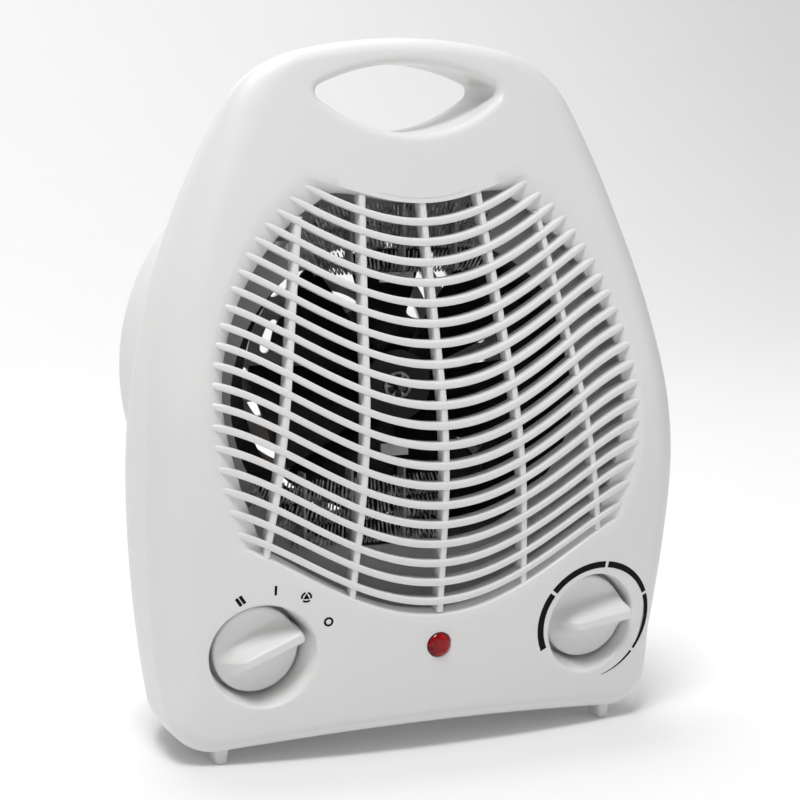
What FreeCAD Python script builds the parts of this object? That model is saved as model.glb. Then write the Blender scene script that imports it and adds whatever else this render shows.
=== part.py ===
import FreeCAD, Part
import Sketcher
import math
import os

# An upright fan heater in two plastic casings.
# X points right, Y points back, Z points up. Z = 0 is the floor under the feet, and the
# origin is the middle of the heater's footprint. Every length is in millimetres.

V = FreeCAD.Vector
doc = FreeCAD.newDocument("fan_heater")
sheet = doc.addObject("Spreadsheet::Sheet", "dims")

DIMENSIONS = [
    # the outline of the casings, seen from the front
    ("height", 252), ("top_arc", 180), ("shoulder", 40), ("side_x", 101), ("side_z", 98),
    ("side_upper", 257.3), ("side_lower", 455), ("foot_corner", 16), ("sole_z", 9.5), ("sole_arc", 611),
    # the bowed face: two straight slopes joined by an arc, turned about an upright axis
    ("face_front", -62), ("face_turn", 370), ("knee_z", 110), ("knee_y", -64.2), ("knee_arc", 127),
    ("slope_up", 0.279), ("slope_down", 0.132), ("edge_round", 11), ("wall", 2.4),
    # the two casings
    ("seam_y", -20), ("rear_inset", 0.8), ("rear_straight", 6), ("rear_deep", 34), ("back_round", 36),
    ("back_tip", 7),
    ("drum_z", 129), ("drum_big", 84.5), ("drum_back", 62), ("drum_round", 12),
    ("slot_rings", 7), ("slot_pitch", 9), ("slot_wide", 4.2), ("slot_first", 13), ("spoke", 5),
    # the carrying hole
    ("hole_half", 38), ("hole_top", 241), ("hole_low", 218), ("hole_corner_z", 233),
    # the grille
    ("bars", 20), ("bar_first", 187.5), ("bar_pitch", 6.94), ("bar_tall", 2.7), ("bar_deep", 6.3),
    ("rise_two", 8.23e-3), ("rise_four", 5.39e-7), ("recess", 4), ("rib_wide", 2.3), ("rib_back", 0.6),
    # knobs and lamp, tipped to lie square to the lower face
    ("knob_x", 63.9), ("knob_z", 41), ("knob_y", -42.4), ("tilt", 7.5), ("knob_big", 15.5),
    ("knob_thick", 5), ("grip_tall", 8), ("grip_wide", 5.2), ("well_mouth", 20.5), ("well_floor", 17),
    ("well_deep", 13), ("spindle", 3), ("lamp_z", 39.6), ("lamp_big", 4.3), ("lamp_y", -55.4),
    ("switch_half", 14), ("switch_deep", 15),
    # the air duct and the fan
    ("duct_y", -27), ("duct_thick", 2), ("duct_end", 6), ("duct_half", 12.8), ("duct_z", 125.3),
    ("duct_big", 54.3), ("fan_z", 127), ("fan_big", 50.5), ("hub_big", 13), ("hub_front", -17),
    ("hub_back", 4), ("blades", 7), ("blade_thick", 1.6), ("shaft", 1.6), ("shaft_front", -21.5),
    ("shaft_back", 43), ("clip_big", 5.3),
    # the motor
    ("core_front", 19), ("core_back", 35), ("core_half", 24), ("core_top", 20), ("core_low", -38),
    ("core_bore", 13), ("rotor_big", 12.7), ("limb_tall", 8), ("window_half", 13.5), ("bearing", 6),
    ("bearing_clear", 0.04), ("strap", 1.6), ("bracket_ring", 27), ("bracket_hole", 10), ("post", 3.6),
    ("post_tall", 11.3), ("motor_screw", 1.7), ("motor_screw_x", 19),
    # heating coils and their mica fins
    ("coil_left", -39), ("coil_right", 29), ("coil_top", 193.4), ("coil_low_left", -63),
    ("coil_low_shift", 9), ("coil_low_right", 13), ("coil_low_top", 97), ("row_tall", 7.6),
    ("row_pitch", 8.4), ("row_thick", 1), ("row_step", 1.5), ("row_front", -32.4), ("mica", 0.8),
    # feet, cord outlet and screws
    ("foot_x", 75), ("foot_y", -33), ("foot_wide", 6), ("foot_deep", 11), ("foot_tall", 7),
    ("rear_foot_x", 52), ("rear_foot_y", 19), ("rear_foot_tall", 9.5), ("cord_bore", 3.6),
    ("gland_big", 5), ("gland_x", -50), ("gland_z", 43), ("screw_seat_y", -12), ("screw", 1.5),
    ("screw_head", 2.8), ("peg", 1.6), ("peg_x", 10), ("clamp_back", 10),
]
for row, (alias, number) in enumerate(DIMENSIONS, start=1):
    sheet.set(f"A{row}", alias)
    sheet.set(f"B{row}", str(number))
    sheet.setAlias(f"B{row}", alias)
doc.recompute()
d = {alias: float(sheet.get(alias)) for alias, number in DIMENSIONS}
SUBPARTS = []


# ---------------------------------------------------------------- document helpers

def keep(thing, label):
    """Marks a document object as a finished sub-part and names it."""
    thing.Label = label
    SUBPARTS.append(thing)
    return thing


def feature(label, shape, place=None):
    """A sub-part whose shape is worked out here from the sheet's cells."""
    thing = doc.addObject("Part::Feature", label)
    thing.Shape = shape
    if place is not None:
        thing.Placement = place
    return keep(thing, label)


def solid_of(kind, name, cells, at=V(), turn=FreeCAD.Rotation()):
    """A Part primitive whose properties follow expressions on the sheet."""
    thing = doc.addObject("Part::" + kind, name)
    for prop, expression in cells.items():
        thing.setExpression(prop, expression)
    thing.Placement = FreeCAD.Placement(at, turn)
    return thing


ALONG_Y = FreeCAD.Rotation(V(1, 0, 0), -90)


def rod(name, radius, length, x, y, z):
    """A round bar that starts at y and runs back by length; both sizes are expressions."""
    return solid_of("Cylinder", name, {"Radius": radius, "Height": length}, V(x, y, z), ALONG_Y)


def cut(name, base, tool):
    thing = doc.addObject("Part::Cut", name)
    thing.Base, thing.Tool = base, tool
    return thing


def fuse(name, *pieces):
    thing = doc.addObject("Part::MultiFuse", name)
    thing.Shapes = list(pieces)
    return thing


def group(name, pieces):
    """Several separate solids of one kind in one node."""
    thing = doc.addObject("Part::Compound", name)
    thing.Links = pieces
    return keep(thing, name)


def body_on(label, role, at=V(), turn=FreeCAD.Rotation()):
    """A PartDesign body with one sketch on the named origin plane."""
    body = doc.addObject("PartDesign::Body", label)
    body.Placement = FreeCAD.Placement(at, turn)
    return keep(body, label), sketch_on(body, role, label + "_sketch")


def sketch_on(body, role, name):
    sketch = body.newObject("Sketcher::SketchObject", name)
    plane = [p for p in body.Origin.OriginFeatures if p.Role == role][0]
    sketch.AttachmentSupport = [(plane, "")]
    sketch.MapMode = "FlatFace"
    return sketch


def circle(sketch, radius, x=0.0, y=0.0):
    """A circle whose radius follows an expression."""
    number = sketch.addGeometry(Part.Circle(V(x, y, 0), V(0, 0, 1), 1.0), False)
    row = sketch.addConstraint(Sketcher.Constraint("Radius", number, 1.0))
    sketch.setExpression(f"Constraints[{row}]", radius)


def polygon(sketch, points):
    """A closed run of straight lines."""
    ring = list(points) + [points[0]]
    for a, b in zip(ring, ring[1:]):
        sketch.addGeometry(Part.LineSegment(V(a[0], a[1], 0), V(b[0], b[1], 0)), False)


def pad(body, sketch, name, length, offset=None):
    thing = body.newObject("PartDesign::Pad", name)
    thing.Profile = sketch
    thing.setExpression("Length", length)
    if offset is not None:
        sketch.AttachmentOffset = FreeCAD.Placement(V(0, 0, offset), FreeCAD.Rotation())
    return thing


# ---------------------------------------------------------------- curves of the casings

def meet(c1, r1, c2, r2, side):
    """Where two circles meet; side picks the one to the left (+1) or right (-1) of c1 to c2."""
    dx, dz = c2[0] - c1[0], c2[1] - c1[1]
    gap = math.hypot(dx, dz)
    along = (gap * gap + r1 * r1 - r2 * r2) / (2 * gap)
    off = side * math.sqrt(r1 * r1 - along * along)
    return (c1[0] + (along * dx - off * dz) / gap, c1[1] + (along * dz + off * dx) / gap)


def toward(c, p, r):
    """The point at distance r from c in the direction of p."""
    gap = math.hypot(p[0] - c[0], p[1] - c[1])
    return (c[0] + (p[0] - c[0]) * r / gap, c[1] + (p[1] - c[1]) * r / gap)


def outline(inset, y, tip=0.0, sole_inset=None):
    """The casing outline as tangent arcs at y, moved inwards by inset and tipped about a level line."""
    sole_inset = inset if sole_inset is None else sole_inset
    top_c = (0.0, d["height"] - d["top_arc"])
    up_c = (d["side_x"] - d["side_upper"], d["side_z"])
    low_c = (d["side_x"] - d["side_lower"], d["side_z"])
    sole_c = (0.0, d["sole_z"] - d["sole_arc"])
    r_top, r_up = d["top_arc"] - inset, d["side_upper"] - inset
    r_low, r_sole = d["side_lower"] - inset, d["sole_arc"] + sole_inset
    r_shoulder, r_foot = max(d["shoulder"] - inset, 15), max(d["foot_corner"] - inset, 7)
    corner = meet(top_c, r_top - r_shoulder, up_c, r_up - r_shoulder, -1)
    foot = meet(low_c, r_low - r_foot, sole_c, r_sole + r_foot, 1)
    knots = [toward(top_c, corner, r_top), toward(up_c, corner, r_up), (d["side_x"] - inset, d["side_z"]),
             toward(low_c, foot, r_low), toward(sole_c, foot, r_sole)]
    arcs = [(corner, r_shoulder, knots[0], knots[1]), (up_c, r_up, knots[1], knots[2]),
            (low_c, r_low, knots[2], knots[3]), (foot, r_foot, knots[3], knots[4])]
    edges = []
    for sign in (1, -1):
        for c, r, a, b in arcs:
            mid = toward(c, ((a[0] + b[0]) / 2, (a[1] + b[1]) / 2), r)
            edges.append(Part.Arc(V(sign * a[0], y, a[1]), V(sign * mid[0], y, mid[1]),
                                  V(sign * b[0], y, b[1])).toShape())
    crown = V(0, y, d["height"] - inset)
    sole = V(0, y, d["sole_z"] + sole_inset)
    edges.append(Part.Arc(V(-knots[0][0], y, knots[0][1]), crown, V(knots[0][0], y, knots[0][1])).toShape())
    edges.append(Part.Arc(V(-knots[4][0], y, knots[4][1]), sole, V(knots[4][0], y, knots[4][1])).toShape())
    wire = Part.Wire(Part.__sortEdges__(edges))
    wire.rotate(V(0, y, 100), V(1, 0, 0), tip)
    return wire


def face_solid(inset):
    """Everything behind the bowed face moved back by inset: a side profile turned about an axis."""
    back = d["face_front"] + d["face_turn"]
    shift = 1.03 * inset
    vertex = (d["knee_y"] + shift, d["knee_z"])
    up, down = math.atan(d["slope_up"]), math.atan(d["slope_down"])
    reach = d["knee_arc"] * math.tan((up + down) / 2)
    high = (vertex[0] + reach * math.sin(up), vertex[1] + reach * math.cos(up))
    low = (vertex[0] + reach * math.sin(down), vertex[1] - reach * math.cos(down))
    centre = (high[0] + d["knee_arc"] * math.cos(up), high[1] - d["knee_arc"] * math.sin(up))
    nose = toward(centre, vertex, d["knee_arc"])
    top_z, low_z = d["height"] + 10, -10
    top = (high[0] + (top_z - high[1]) * d["slope_up"], top_z)
    bottom = (low[0] + (low[1] - low_z) * d["slope_down"], low_z)
    p = [V(0, q[0], q[1]) for q in (bottom, low, nose, high, top)]
    edges = [Part.makeLine(p[0], p[1]), Part.Arc(p[1], p[2], p[3]).toShape(), Part.makeLine(p[3], p[4]),
             Part.makeLine(p[4], V(0, back, top_z)), Part.makeLine(V(0, back, top_z), V(0, back, low_z)),
             Part.makeLine(V(0, back, low_z), p[0])]
    half = 25
    profile = Part.Face(Part.Wire(edges))
    profile.rotate(V(0, back, 0), V(0, 0, 1), -half)
    return profile.revolve(V(0, back, 0), V(0, 0, 1), 2 * half)


def slab(wire, deep):
    """A plate of the wire's shape, deep millimetres thick towards the back."""
    return Part.Face(wire).extrude(V(0, deep, 0))


def rise(x):
    """How far a grille bar stands above its middle at x: an S-shaped sweep."""
    return d["rise_two"] * x * x - d["rise_four"] * x ** 4


def opening(grow):
    """The grille's edge: sagging lips and bowed sides. Grow 0 is the opening, 1 the dish's outer edge."""
    inner = [(33, 197.6), (47, 188), (65.5, 166), (76.5, 129), (72, 101), (64, 78.5)]
    outer = [(43, 204), (56, 194), (71.5, 170.5), (83, 128), (81.5, 98), (75, 79.5)]
    side = [(a[0] + grow * (b[0] - a[0]), a[1] + grow * (b[1] - a[1])) for a, b in zip(inner, outer)]
    y = -80
    lip_z, low_z = 193.8 + 0.2 * grow, 52.3 - 2.2 * grow
    top = [(x, lip_z + rise(x)) for x in (-side[0][0] * 0.55, 0, side[0][0] * 0.55)]
    low = [(x, low_z + rise(x)) for x in (-48, -26, 0, 26, 48)]

    def through(points):
        curve = Part.BSplineCurve()
        curve.interpolate([V(px, y, pz) for px, pz in points])
        return curve.toShape()

    left = [(-px, pz) for px, pz in side]
    edges = [through([left[0]] + top + [side[0]]), through(side), through(left),
             through([left[-1]] + low + [side[-1]])]
    return Part.Wire(Part.__sortEdges__(edges))


def wave_bar(z_mid):
    """The front view of one grille bar: the sweep curve made as tall as a bar."""
    xs = [i * 8.0 for i in range(-11, 12)]
    up, down = [], []
    for x in xs:
        z = z_mid + rise(x)
        up.append(V(x, -80, z + d["bar_tall"] / 2))
        down.append(V(x, -80, z - d["bar_tall"] / 2))
    a, b = Part.BSplineCurve(), Part.BSplineCurve()
    a.interpolate(up)
    b.interpolate(down)
    ends = [Part.makeLine(up[0], down[0]), Part.makeLine(up[-1], down[-1])]
    return slab(Part.Wire(Part.__sortEdges__([a.toShape(), b.toShape()] + ends)), 70)


def rib(foot, middle, head):
    """The front view of one upright rib through three points of its centre line."""
    half = d["rib_wide"] / 2
    sides = []
    for off in (-half, half):
        sides.append([V(p[0] + off, -80, p[1]) for p in (foot, middle, head)])
    if abs(middle[0] - (foot[0] + head[0]) / 2) < 0.01:
        curves = [Part.makeLine(s[0], s[2]) for s in sides]
    else:
        curves = [Part.Arc(*s).toShape() for s in sides]
    ends = [Part.makeLine(sides[0][i], sides[1][i]) for i in (0, 2)]
    return slab(Part.Wire(Part.__sortEdges__(curves + ends)), 70)


def hand_hole(grow, y0, y1):
    """The smile-shaped carrying hole from y0 to y1."""
    half, corner_z = d["hole_half"] + grow, d["hole_corner_z"]
    round_r = 5 + grow
    top = Part.Arc(V(-half, y0, corner_z), V(0, y0, d["hole_top"] + grow), V(half, y0, corner_z)).toShape()
    low = Part.Arc(V(-half, y0, corner_z), V(0, y0, d["hole_low"] - grow), V(half, y0, corner_z)).toShape()
    block = Part.Face(Part.Wire([top, low])).extrude(V(0, y1 - y0, 0))
    corners = [e for e in block.Edges if abs(e.Vertexes[0].Z - e.Vertexes[-1].Z) < 0.01
               and abs(abs(e.Vertexes[0].X) - half) < 0.01 and e.Length > 5
               and abs(e.Vertexes[0].X - e.Vertexes[-1].X) < 0.01]
    return block.makeFillet(round_r * 0.6, corners)


def front_blank(inset, end):
    """The solid form of the front casing up to y = end: outline, bowed face and rounded front edge."""
    y_front = -90
    block = slab(outline(inset, y_front), 140).common(face_solid(inset))
    rim = [e for e in block.Edges
           if max(v.Y for v in e.Vertexes) < -10 and e.BoundBox.YMax < -8]
    rounded = block.makeFillet(d["edge_round"] - inset, rim)
    return rounded.common(Part.makeBox(300, 100, 300, V(-150, end - 100, -10)))


def tipped(x, z, y):
    """The placement of a knob's parts: local +Z points out of the lower face."""
    return FreeCAD.Placement(V(x, y, z), FreeCAD.Rotation(V(1, 0, 0), 90 + d["tilt"]))


def cone(r0, r1, deep, start, place):
    """A round tool along a knob's axis, from start (local Z) inwards by deep."""
    if r0 == r1:
        shape = Part.makeCylinder(r0, deep, V(0, 0, start), V(0, 0, -1))
    else:
        shape = Part.makeCone(r0, r1, deep, V(0, 0, start), V(0, 0, -1))
    shape.rotate(V(), V(0, 0, 1), 180 if place.Base.x > 0 else 0)
    shape.Placement = place.multiply(shape.Placement)
    return shape


# ---------------------------------------------------------------- the casings

CASING_SCREWS = [(-88, 66), (88, 66), (-62, 212), (62, 212)]
DUCT_SCREWS = [(-87, 112), (87, 112), (-79, 166), (79, 166)]
BRACKET_SCREWS = [(-73, 125.3), (73, 125.3), (0, 185.5)]


def front_casing():
    """Front shell with the grille, the two knob wells, the lamp hole and the front feet."""
    w = d["wall"]
    hollow = front_blank(w, d["seam_y"] + 5).cut(hand_hole(w, -90, 0))
    hollow = hollow.cut(slab(opening(1.3), 70).cut(face_solid(d["recess"] + w)))
    holes = [hand_hole(0, -90, 0)]
    slope = (d["well_mouth"] - d["well_floor"]) / d["well_deep"]
    start, floor_z = 11, -d["knob_thick"] - 0.8
    r_start = d["well_floor"] + slope * (start - floor_z)
    for side in (-1, 1):
        place = tipped(side * d["knob_x"], d["knob_z"], d["knob_y"])
        hollow = hollow.cut(cone(r_start + w, d["well_floor"] + w, start - floor_z + w, start, place))
        holes.append(cone(r_start, d["well_floor"], start - floor_z, start, place))
        holes.append(cone(d["spindle"] + 1, d["spindle"] + 1, 30, 0, place))
    holes.append(cone(d["lamp_big"] + 0.2, d["lamp_big"] + 0.2, 20, 8, tipped(0, d["lamp_z"], d["lamp_y"])))
    for x, z in CASING_SCREWS + DUCT_SCREWS:
        tail = d["seam_y"] if (x, z) in CASING_SCREWS else d["duct_y"]
        hollow = hollow.cut(Part.makeCylinder(3.6, 60, V(x, tail - 60, z), V(0, 1, 0)))
        holes.append(Part.makeCylinder(d["screw"], 30, V(x, tail - 10, z), V(0, 1, 0)))
    feet = [foot_block(side * d["foot_x"], d["foot_y"], d["foot_tall"]) for side in (-1, 1)]
    shell = front_blank(0, d["seam_y"]).fuse(feet)
    shell = shell.cut(hollow)
    for hole in holes:
        shell = shell.cut(hole)
    reach = slab(opening(1.1), 70)
    band = reach.common(face_solid(0.06)).cut(face_solid(d["bar_deep"]))
    deep_band = reach.common(face_solid(d["rib_back"])).cut(face_solid(d["bar_deep"]))
    bars = [wave_bar(d["bar_first"] - i * d["bar_pitch"]).common(band) for i in range(int(d["bars"]))]
    ribs = [rib((0, 48), (0, 120), (0, 196))]
    for s in (-1, 1):
        ribs.append(rib((s * 33.0, 54), (s * 28.2, 125), (s * 22.0, 199)))
        ribs.append(rib((s * 63.2, 74), (s * 55.4, 130), (s * 45.0, 190)))
    ribs = [piece.common(deep_band) for piece in ribs]
    space = slab(opening(1), 70).cut(face_solid(d["recess"])).fuse(slab(opening(0), 70))
    space = space.cut(Part.makeCompound(bars + ribs))
    shell = shell.cut(space)
    return feature("front_casing", shell.removeSplitter())


def foot_block(x, y, tall):
    """One small moulded foot, narrower at the sole, reaching up into the casing floor."""
    w, b = d["foot_wide"] / 2, d["foot_deep"] / 2
    top = Part.makePolygon([V(x - w, y - b, tall), V(x + w, y - b, tall), V(x + w, y + b, tall),
                            V(x - w, y + b, tall), V(x - w, y - b, tall)])
    w, b = w - 0.8, b - 1.2
    sole = Part.makePolygon([V(x - w, y - b, 0), V(x + w, y - b, 0), V(x + w, y + b, 0),
                             V(x - w, y + b, 0), V(x - w, y - b, 0)])
    return Part.makeLoft([sole, top], True)


def rear_blank(inset):
    """The solid form of the rear casing without its drum: a tray that rounds over to a sloping back."""
    start, straight = d["seam_y"], d["rear_straight"]
    deep = d["rear_deep"] - inset
    sections = [outline(d["rear_inset"] + inset, start)]
    for part in range(6):
        turn = part / 5 * math.radians(72)
        y = start + straight + deep * math.sin(turn)
        pull = d["rear_inset"] + inset + d["back_round"] * (1 - math.cos(turn))
        sole = d["rear_inset"] + inset + 4 * (1 - math.cos(turn))
        sections.append(outline(pull, y, d["back_tip"] * math.sin(turn), sole))
    return Part.makeLoft(sections, True, True)


def drum(inset, y0):
    """The round fan housing at the back, with its rear edge rounded over."""
    r, back = d["drum_big"] - inset, d["drum_back"] - inset
    block = Part.makeCylinder(r, back - y0, V(0, y0, d["drum_z"]), V(0, 1, 0))
    rim = [edge for edge in block.Edges if edge.BoundBox.YMin > back - 0.01]
    return block.makeFillet(d["drum_round"] - inset, rim)


def rear_casing():
    """Rear shell with the round fan housing, the air inlet slots, rear feet and cord outlet."""
    w = d["wall"]
    inside = rear_blank(w).fuse(drum(w, -5)).fuse(slab(outline(d["rear_inset"] + w, d["seam_y"] - 5), 6))
    inside = inside.cut(hand_hole(w, -40, 90))
    for x, z in CASING_SCREWS:
        inside = inside.cut(Part.makeCylinder(4.8, 120, V(x, -30, z), V(0, 1, 0)))
    for side in (-1, 1):
        x, z = d["gland_x"] + side * d["peg_x"], d["gland_z"]
        inside = inside.cut(Part.makeCylinder(3, 60, V(x, d["clamp_back"] + 0.05, z), V(0, 1, 0)))
        inside = inside.cut(Part.makeCylinder(d["peg"], 60, V(x, 1, z), V(0, 1, 0)))
    shell = rear_blank(0).fuse(drum(0, -5)).cut(inside).cut(hand_hole(0, -40, 90))
    for x, z in CASING_SCREWS:
        shell = shell.cut(Part.makeCylinder(3.1, 90, V(x, d["screw_seat_y"], z), V(0, 1, 0)))
        shell = shell.cut(Part.makeCylinder(d["screw"] + 0.2, 90, V(x, -30, z), V(0, 1, 0)))
    slots = []
    spokes = [Part.makeBox(400, 40, d["spoke"], V(-200, 40, d["drum_z"] - d["spoke"] / 2))]
    for turn in (45, 90, 135):
        spoke = spokes[0].copy()
        spoke.rotate(V(0, 0, d["drum_z"]), V(0, 1, 0), turn)
        spokes.append(spoke)
    for ring in range(int(d["slot_rings"])):
        r = d["slot_first"] + ring * d["slot_pitch"]
        big = Part.makeCylinder(r + d["slot_wide"], 40, V(0, 40, d["drum_z"]), V(0, 1, 0))
        slots.append(big.cut(Part.makeCylinder(r, 40, V(0, 40, d["drum_z"]), V(0, 1, 0))))
    shell = shell.cut(slots[0].fuse(slots[1:]).cut(spokes[0].fuse(spokes[1:])))
    gland = V(d["gland_x"], 5, d["gland_z"])
    shell = shell.cut(Part.makeCylinder(d["gland_big"] + 0.2, 60, gland, V(0, 1, 0)))
    for side in (-1, 1):
        shell = shell.fuse(foot_block(side * d["rear_foot_x"], d["rear_foot_y"], d["rear_foot_tall"]))
    return feature("rear_casing", shell.removeSplitter())


# ---------------------------------------------------------------- air duct and motor bracket

def obround(half, radius, z, y, deep):
    """A bar of obround section running back from y."""
    block = Part.makeBox(2 * half, deep, 2 * radius, V(-half, y, z - radius))
    ends = [Part.makeCylinder(radius, deep, V(s * half, y, z), V(0, 1, 0)) for s in (-1, 1)]
    return block.fuse(ends).removeSplitter()


def air_duct():
    """Inner moulding: a plate with an obround mouth, a tunnel with the fan's shroud, and a front skirt."""
    y, thick, w = d["duct_y"], d["duct_thick"], 2.0
    plate = slab(outline(5.5, y), thick).common(Part.makeBox(300, 90, 132, V(-150, -60, 72)))
    skirt = slab(opening(0.4), 80).cut(slab(opening(0.14), 90))
    skirt = skirt.common(face_solid(d["recess"] + d["wall"] + 0.5))
    skirt = skirt.common(Part.makeBox(300, 100, 300, V(-150, y - 100 + 0.5, -10)))
    seat = slab(opening(0.4), 80).common(Part.makeBox(300, thick, 300, V(-150, y, -10)))
    tunnel = obround(d["duct_half"], d["duct_big"] + w, d["duct_z"], y, d["duct_end"] - y)
    duct = plate.fuse([seat, skirt, tunnel])
    throat = obround(d["duct_half"], d["duct_big"], d["duct_z"], y - 1, d["duct_end"] - y + 2)
    duct = duct.cut(throat)
    end = d["duct_end"] - 1.6
    shroud = obround(d["duct_half"], d["duct_big"] + 1, d["duct_z"], end, 1.6)
    around_fan = Part.makeCylinder(d["fan_big"] + 1.5, 9, V(0, end - 4, d["fan_z"]), V(0, 1, 0))
    duct = duct.fuse(shroud.cut(around_fan))
    for x, z in BRACKET_SCREWS:
        post = Part.makeCylinder(3.6, d["duct_end"] - y, V(x, y, z), V(0, 1, 0))
        duct = duct.fuse(post.cut(throat))
        duct = duct.cut(Part.makeCylinder(d["screw"], 8, V(x, d["duct_end"] - 8, z), V(0, 1, 0)))
    for x, z in DUCT_SCREWS:
        duct = duct.cut(Part.makeCylinder(d["screw"] + 0.2, 8, V(x, y - 3, z), V(0, 1, 0)))
    return feature("air_duct", duct.removeSplitter())


def motor_bracket():
    """Pressed plate across the back of the tunnel: a ring, four arms and two motor posts."""
    y = d["duct_end"] + 0.02
    body, ring = body_on("motor_bracket", "XZ_Plane")
    body.Placement = FreeCAD.Placement(V(0, y, d["fan_z"]), FreeCAD.Rotation(V(0, 0, 1), 180))
    circle(ring, "dims.bracket_ring")
    circle(ring, "dims.bracket_hole")
    pad(body, ring, "ring", "dims.strap")
    doc.recompute()
    arms = sketch_on(body, "XZ_Plane", "arm_lines")
    inner, wide = d["bracket_ring"] - 2, 4.6
    reach, up, mid = 77.6, BRACKET_SCREWS[2][1] - d["fan_z"] + 4.6, d["duct_z"] - d["fan_z"]
    for side in (-1, 1):
        polygon(arms, [(side * inner, mid - wide), (side * reach, mid - wide),
                       (side * reach, mid + wide), (side * inner, mid + wide)])
    polygon(arms, [(-wide, inner), (wide, inner), (wide, up), (-wide, up)])
    for x, z in BRACKET_SCREWS:
        circle(arms, "dims.screw + 0.2", -x, z - d["fan_z"])
    pad(body, arms, "arms", "dims.strap")
    doc.recompute()
    posts = sketch_on(body, "XZ_Plane", "post_circles")
    for side in (-1, 1):
        circle(posts, "dims.post", side * d["motor_screw_x"])
    pad(body, posts, "posts", "dims.post_tall")
    doc.recompute()
    drill = sketch_on(body, "XZ_Plane", "screw_circles")
    for side in (-1, 1):
        circle(drill, "dims.motor_screw + 0.1", side * d["motor_screw_x"])
    holes = body.newObject("PartDesign::Pocket", "screw_holes")
    holes.Profile, holes.Type, holes.Midplane = drill, "ThroughAll", True


# ---------------------------------------------------------------- fan motor

def stator_core():
    """Laminated iron: a closed frame with the rotor bore above and the winding's limb below."""
    half, wide, low, top = d["core_half"], d["window_half"], d["core_low"], d["core_top"]
    body, frame = body_on("stator_core", "XZ_Plane", V(0, d["core_front"], d["fan_z"]),
                          FreeCAD.Rotation(V(0, 0, 1), 180))
    polygon(frame, [(-half, low), (half, low), (half, top), (-half, top)])
    circle(frame, "dims.core_bore")
    limb = low + d["limb_tall"]
    polygon(frame, [(-wide, limb), (wide, limb), (wide, -17), (-wide, -17)])
    for side in (-1, 1):
        circle(frame, "dims.motor_screw + 0.1", side * d["motor_screw_x"])
    pad(body, frame, "stack", "dims.core_back - dims.core_front")


def boxed(name, x0, x1, y0, y1, z0, z1):
    """A Part box between two corners, bound to nothing but its own sides."""
    thing = doc.addObject("Part::Box", name)
    thing.Length, thing.Width, thing.Height = x1 - x0, y1 - y0, z1 - z0
    thing.Placement.Base = V(x0, y0, z0)
    return thing


def winding():
    """The bobbin that slips over the limb, and the copper winding on it."""
    z0, z1 = d["fan_z"] + d["core_low"], d["fan_z"] + d["core_low"] + d["limb_tall"]
    y0, y1, half = d["core_front"], d["core_back"], d["window_half"] - 0.5
    limb = boxed("limb_space", -30, 30, y0, y1, z0, z1)
    spool = boxed("spool", -half, half, y0 - 1, y1 + 1, z0 - 1, z1 + 1)
    flanges = [boxed("flange", s * half - (1 if s > 0 else 0), s * half + (0 if s > 0 else 1),
                     y0 - 8, y1 + 7, z0 - 9, z1 + 11.5) for s in (-1, 1)]
    keep(cut("bobbin", fuse("bobbin_form", spool, *flanges), limb), "bobbin")
    coil = boxed("coil_block", -half + 1.1, half - 1.1, y0 - 7, y1 + 6, z0 - 8, z1 + 10.5)
    core = boxed("coil_space", -30, 30, y0 - 1.05, y1 + 1.05, z0 - 1.05, z1 + 1.05)
    keep(cut("motor_winding", coil, core), "motor_winding")


def bearing_bridge(label, y, out):
    """A pressed strap across the core with a cup for the bearing; out is +1 when the cup points back."""
    turn = FreeCAD.Rotation(V(0, 0, 1), 180) if out > 0 else FreeCAD.Rotation()
    body, strap = body_on(label, "XZ_Plane", V(0, y, d["fan_z"]), turn)
    polygon(strap, [(-23.5, -6.5), (23.5, -6.5), (23.5, 6.5), (-23.5, 6.5)])
    circle(strap, "dims.shaft + 1")
    for side in (-1, 1):
        circle(strap, "dims.motor_screw + 0.1", side * d["motor_screw_x"])
    pad(body, strap, label + "_strap", "dims.strap")
    doc.recompute()
    cup = sketch_on(body, "XZ_Plane", label + "_cup")
    circle(cup, "dims.bearing + 1.5")
    circle(cup, "dims.bearing")
    pad(body, cup, label + "_wall", "dims.strap + 4.5")


def bush(label, y):
    """A sintered bronze bush the shaft runs in."""
    outer = rod(label + "_body", "dims.bearing", "4", 0, y, d["fan_z"])
    bore = rod(label + "_bore", "dims.shaft + dims.bearing_clear", "10", 0, y - 3, d["fan_z"])
    keep(cut(label, outer, bore), label)


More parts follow.
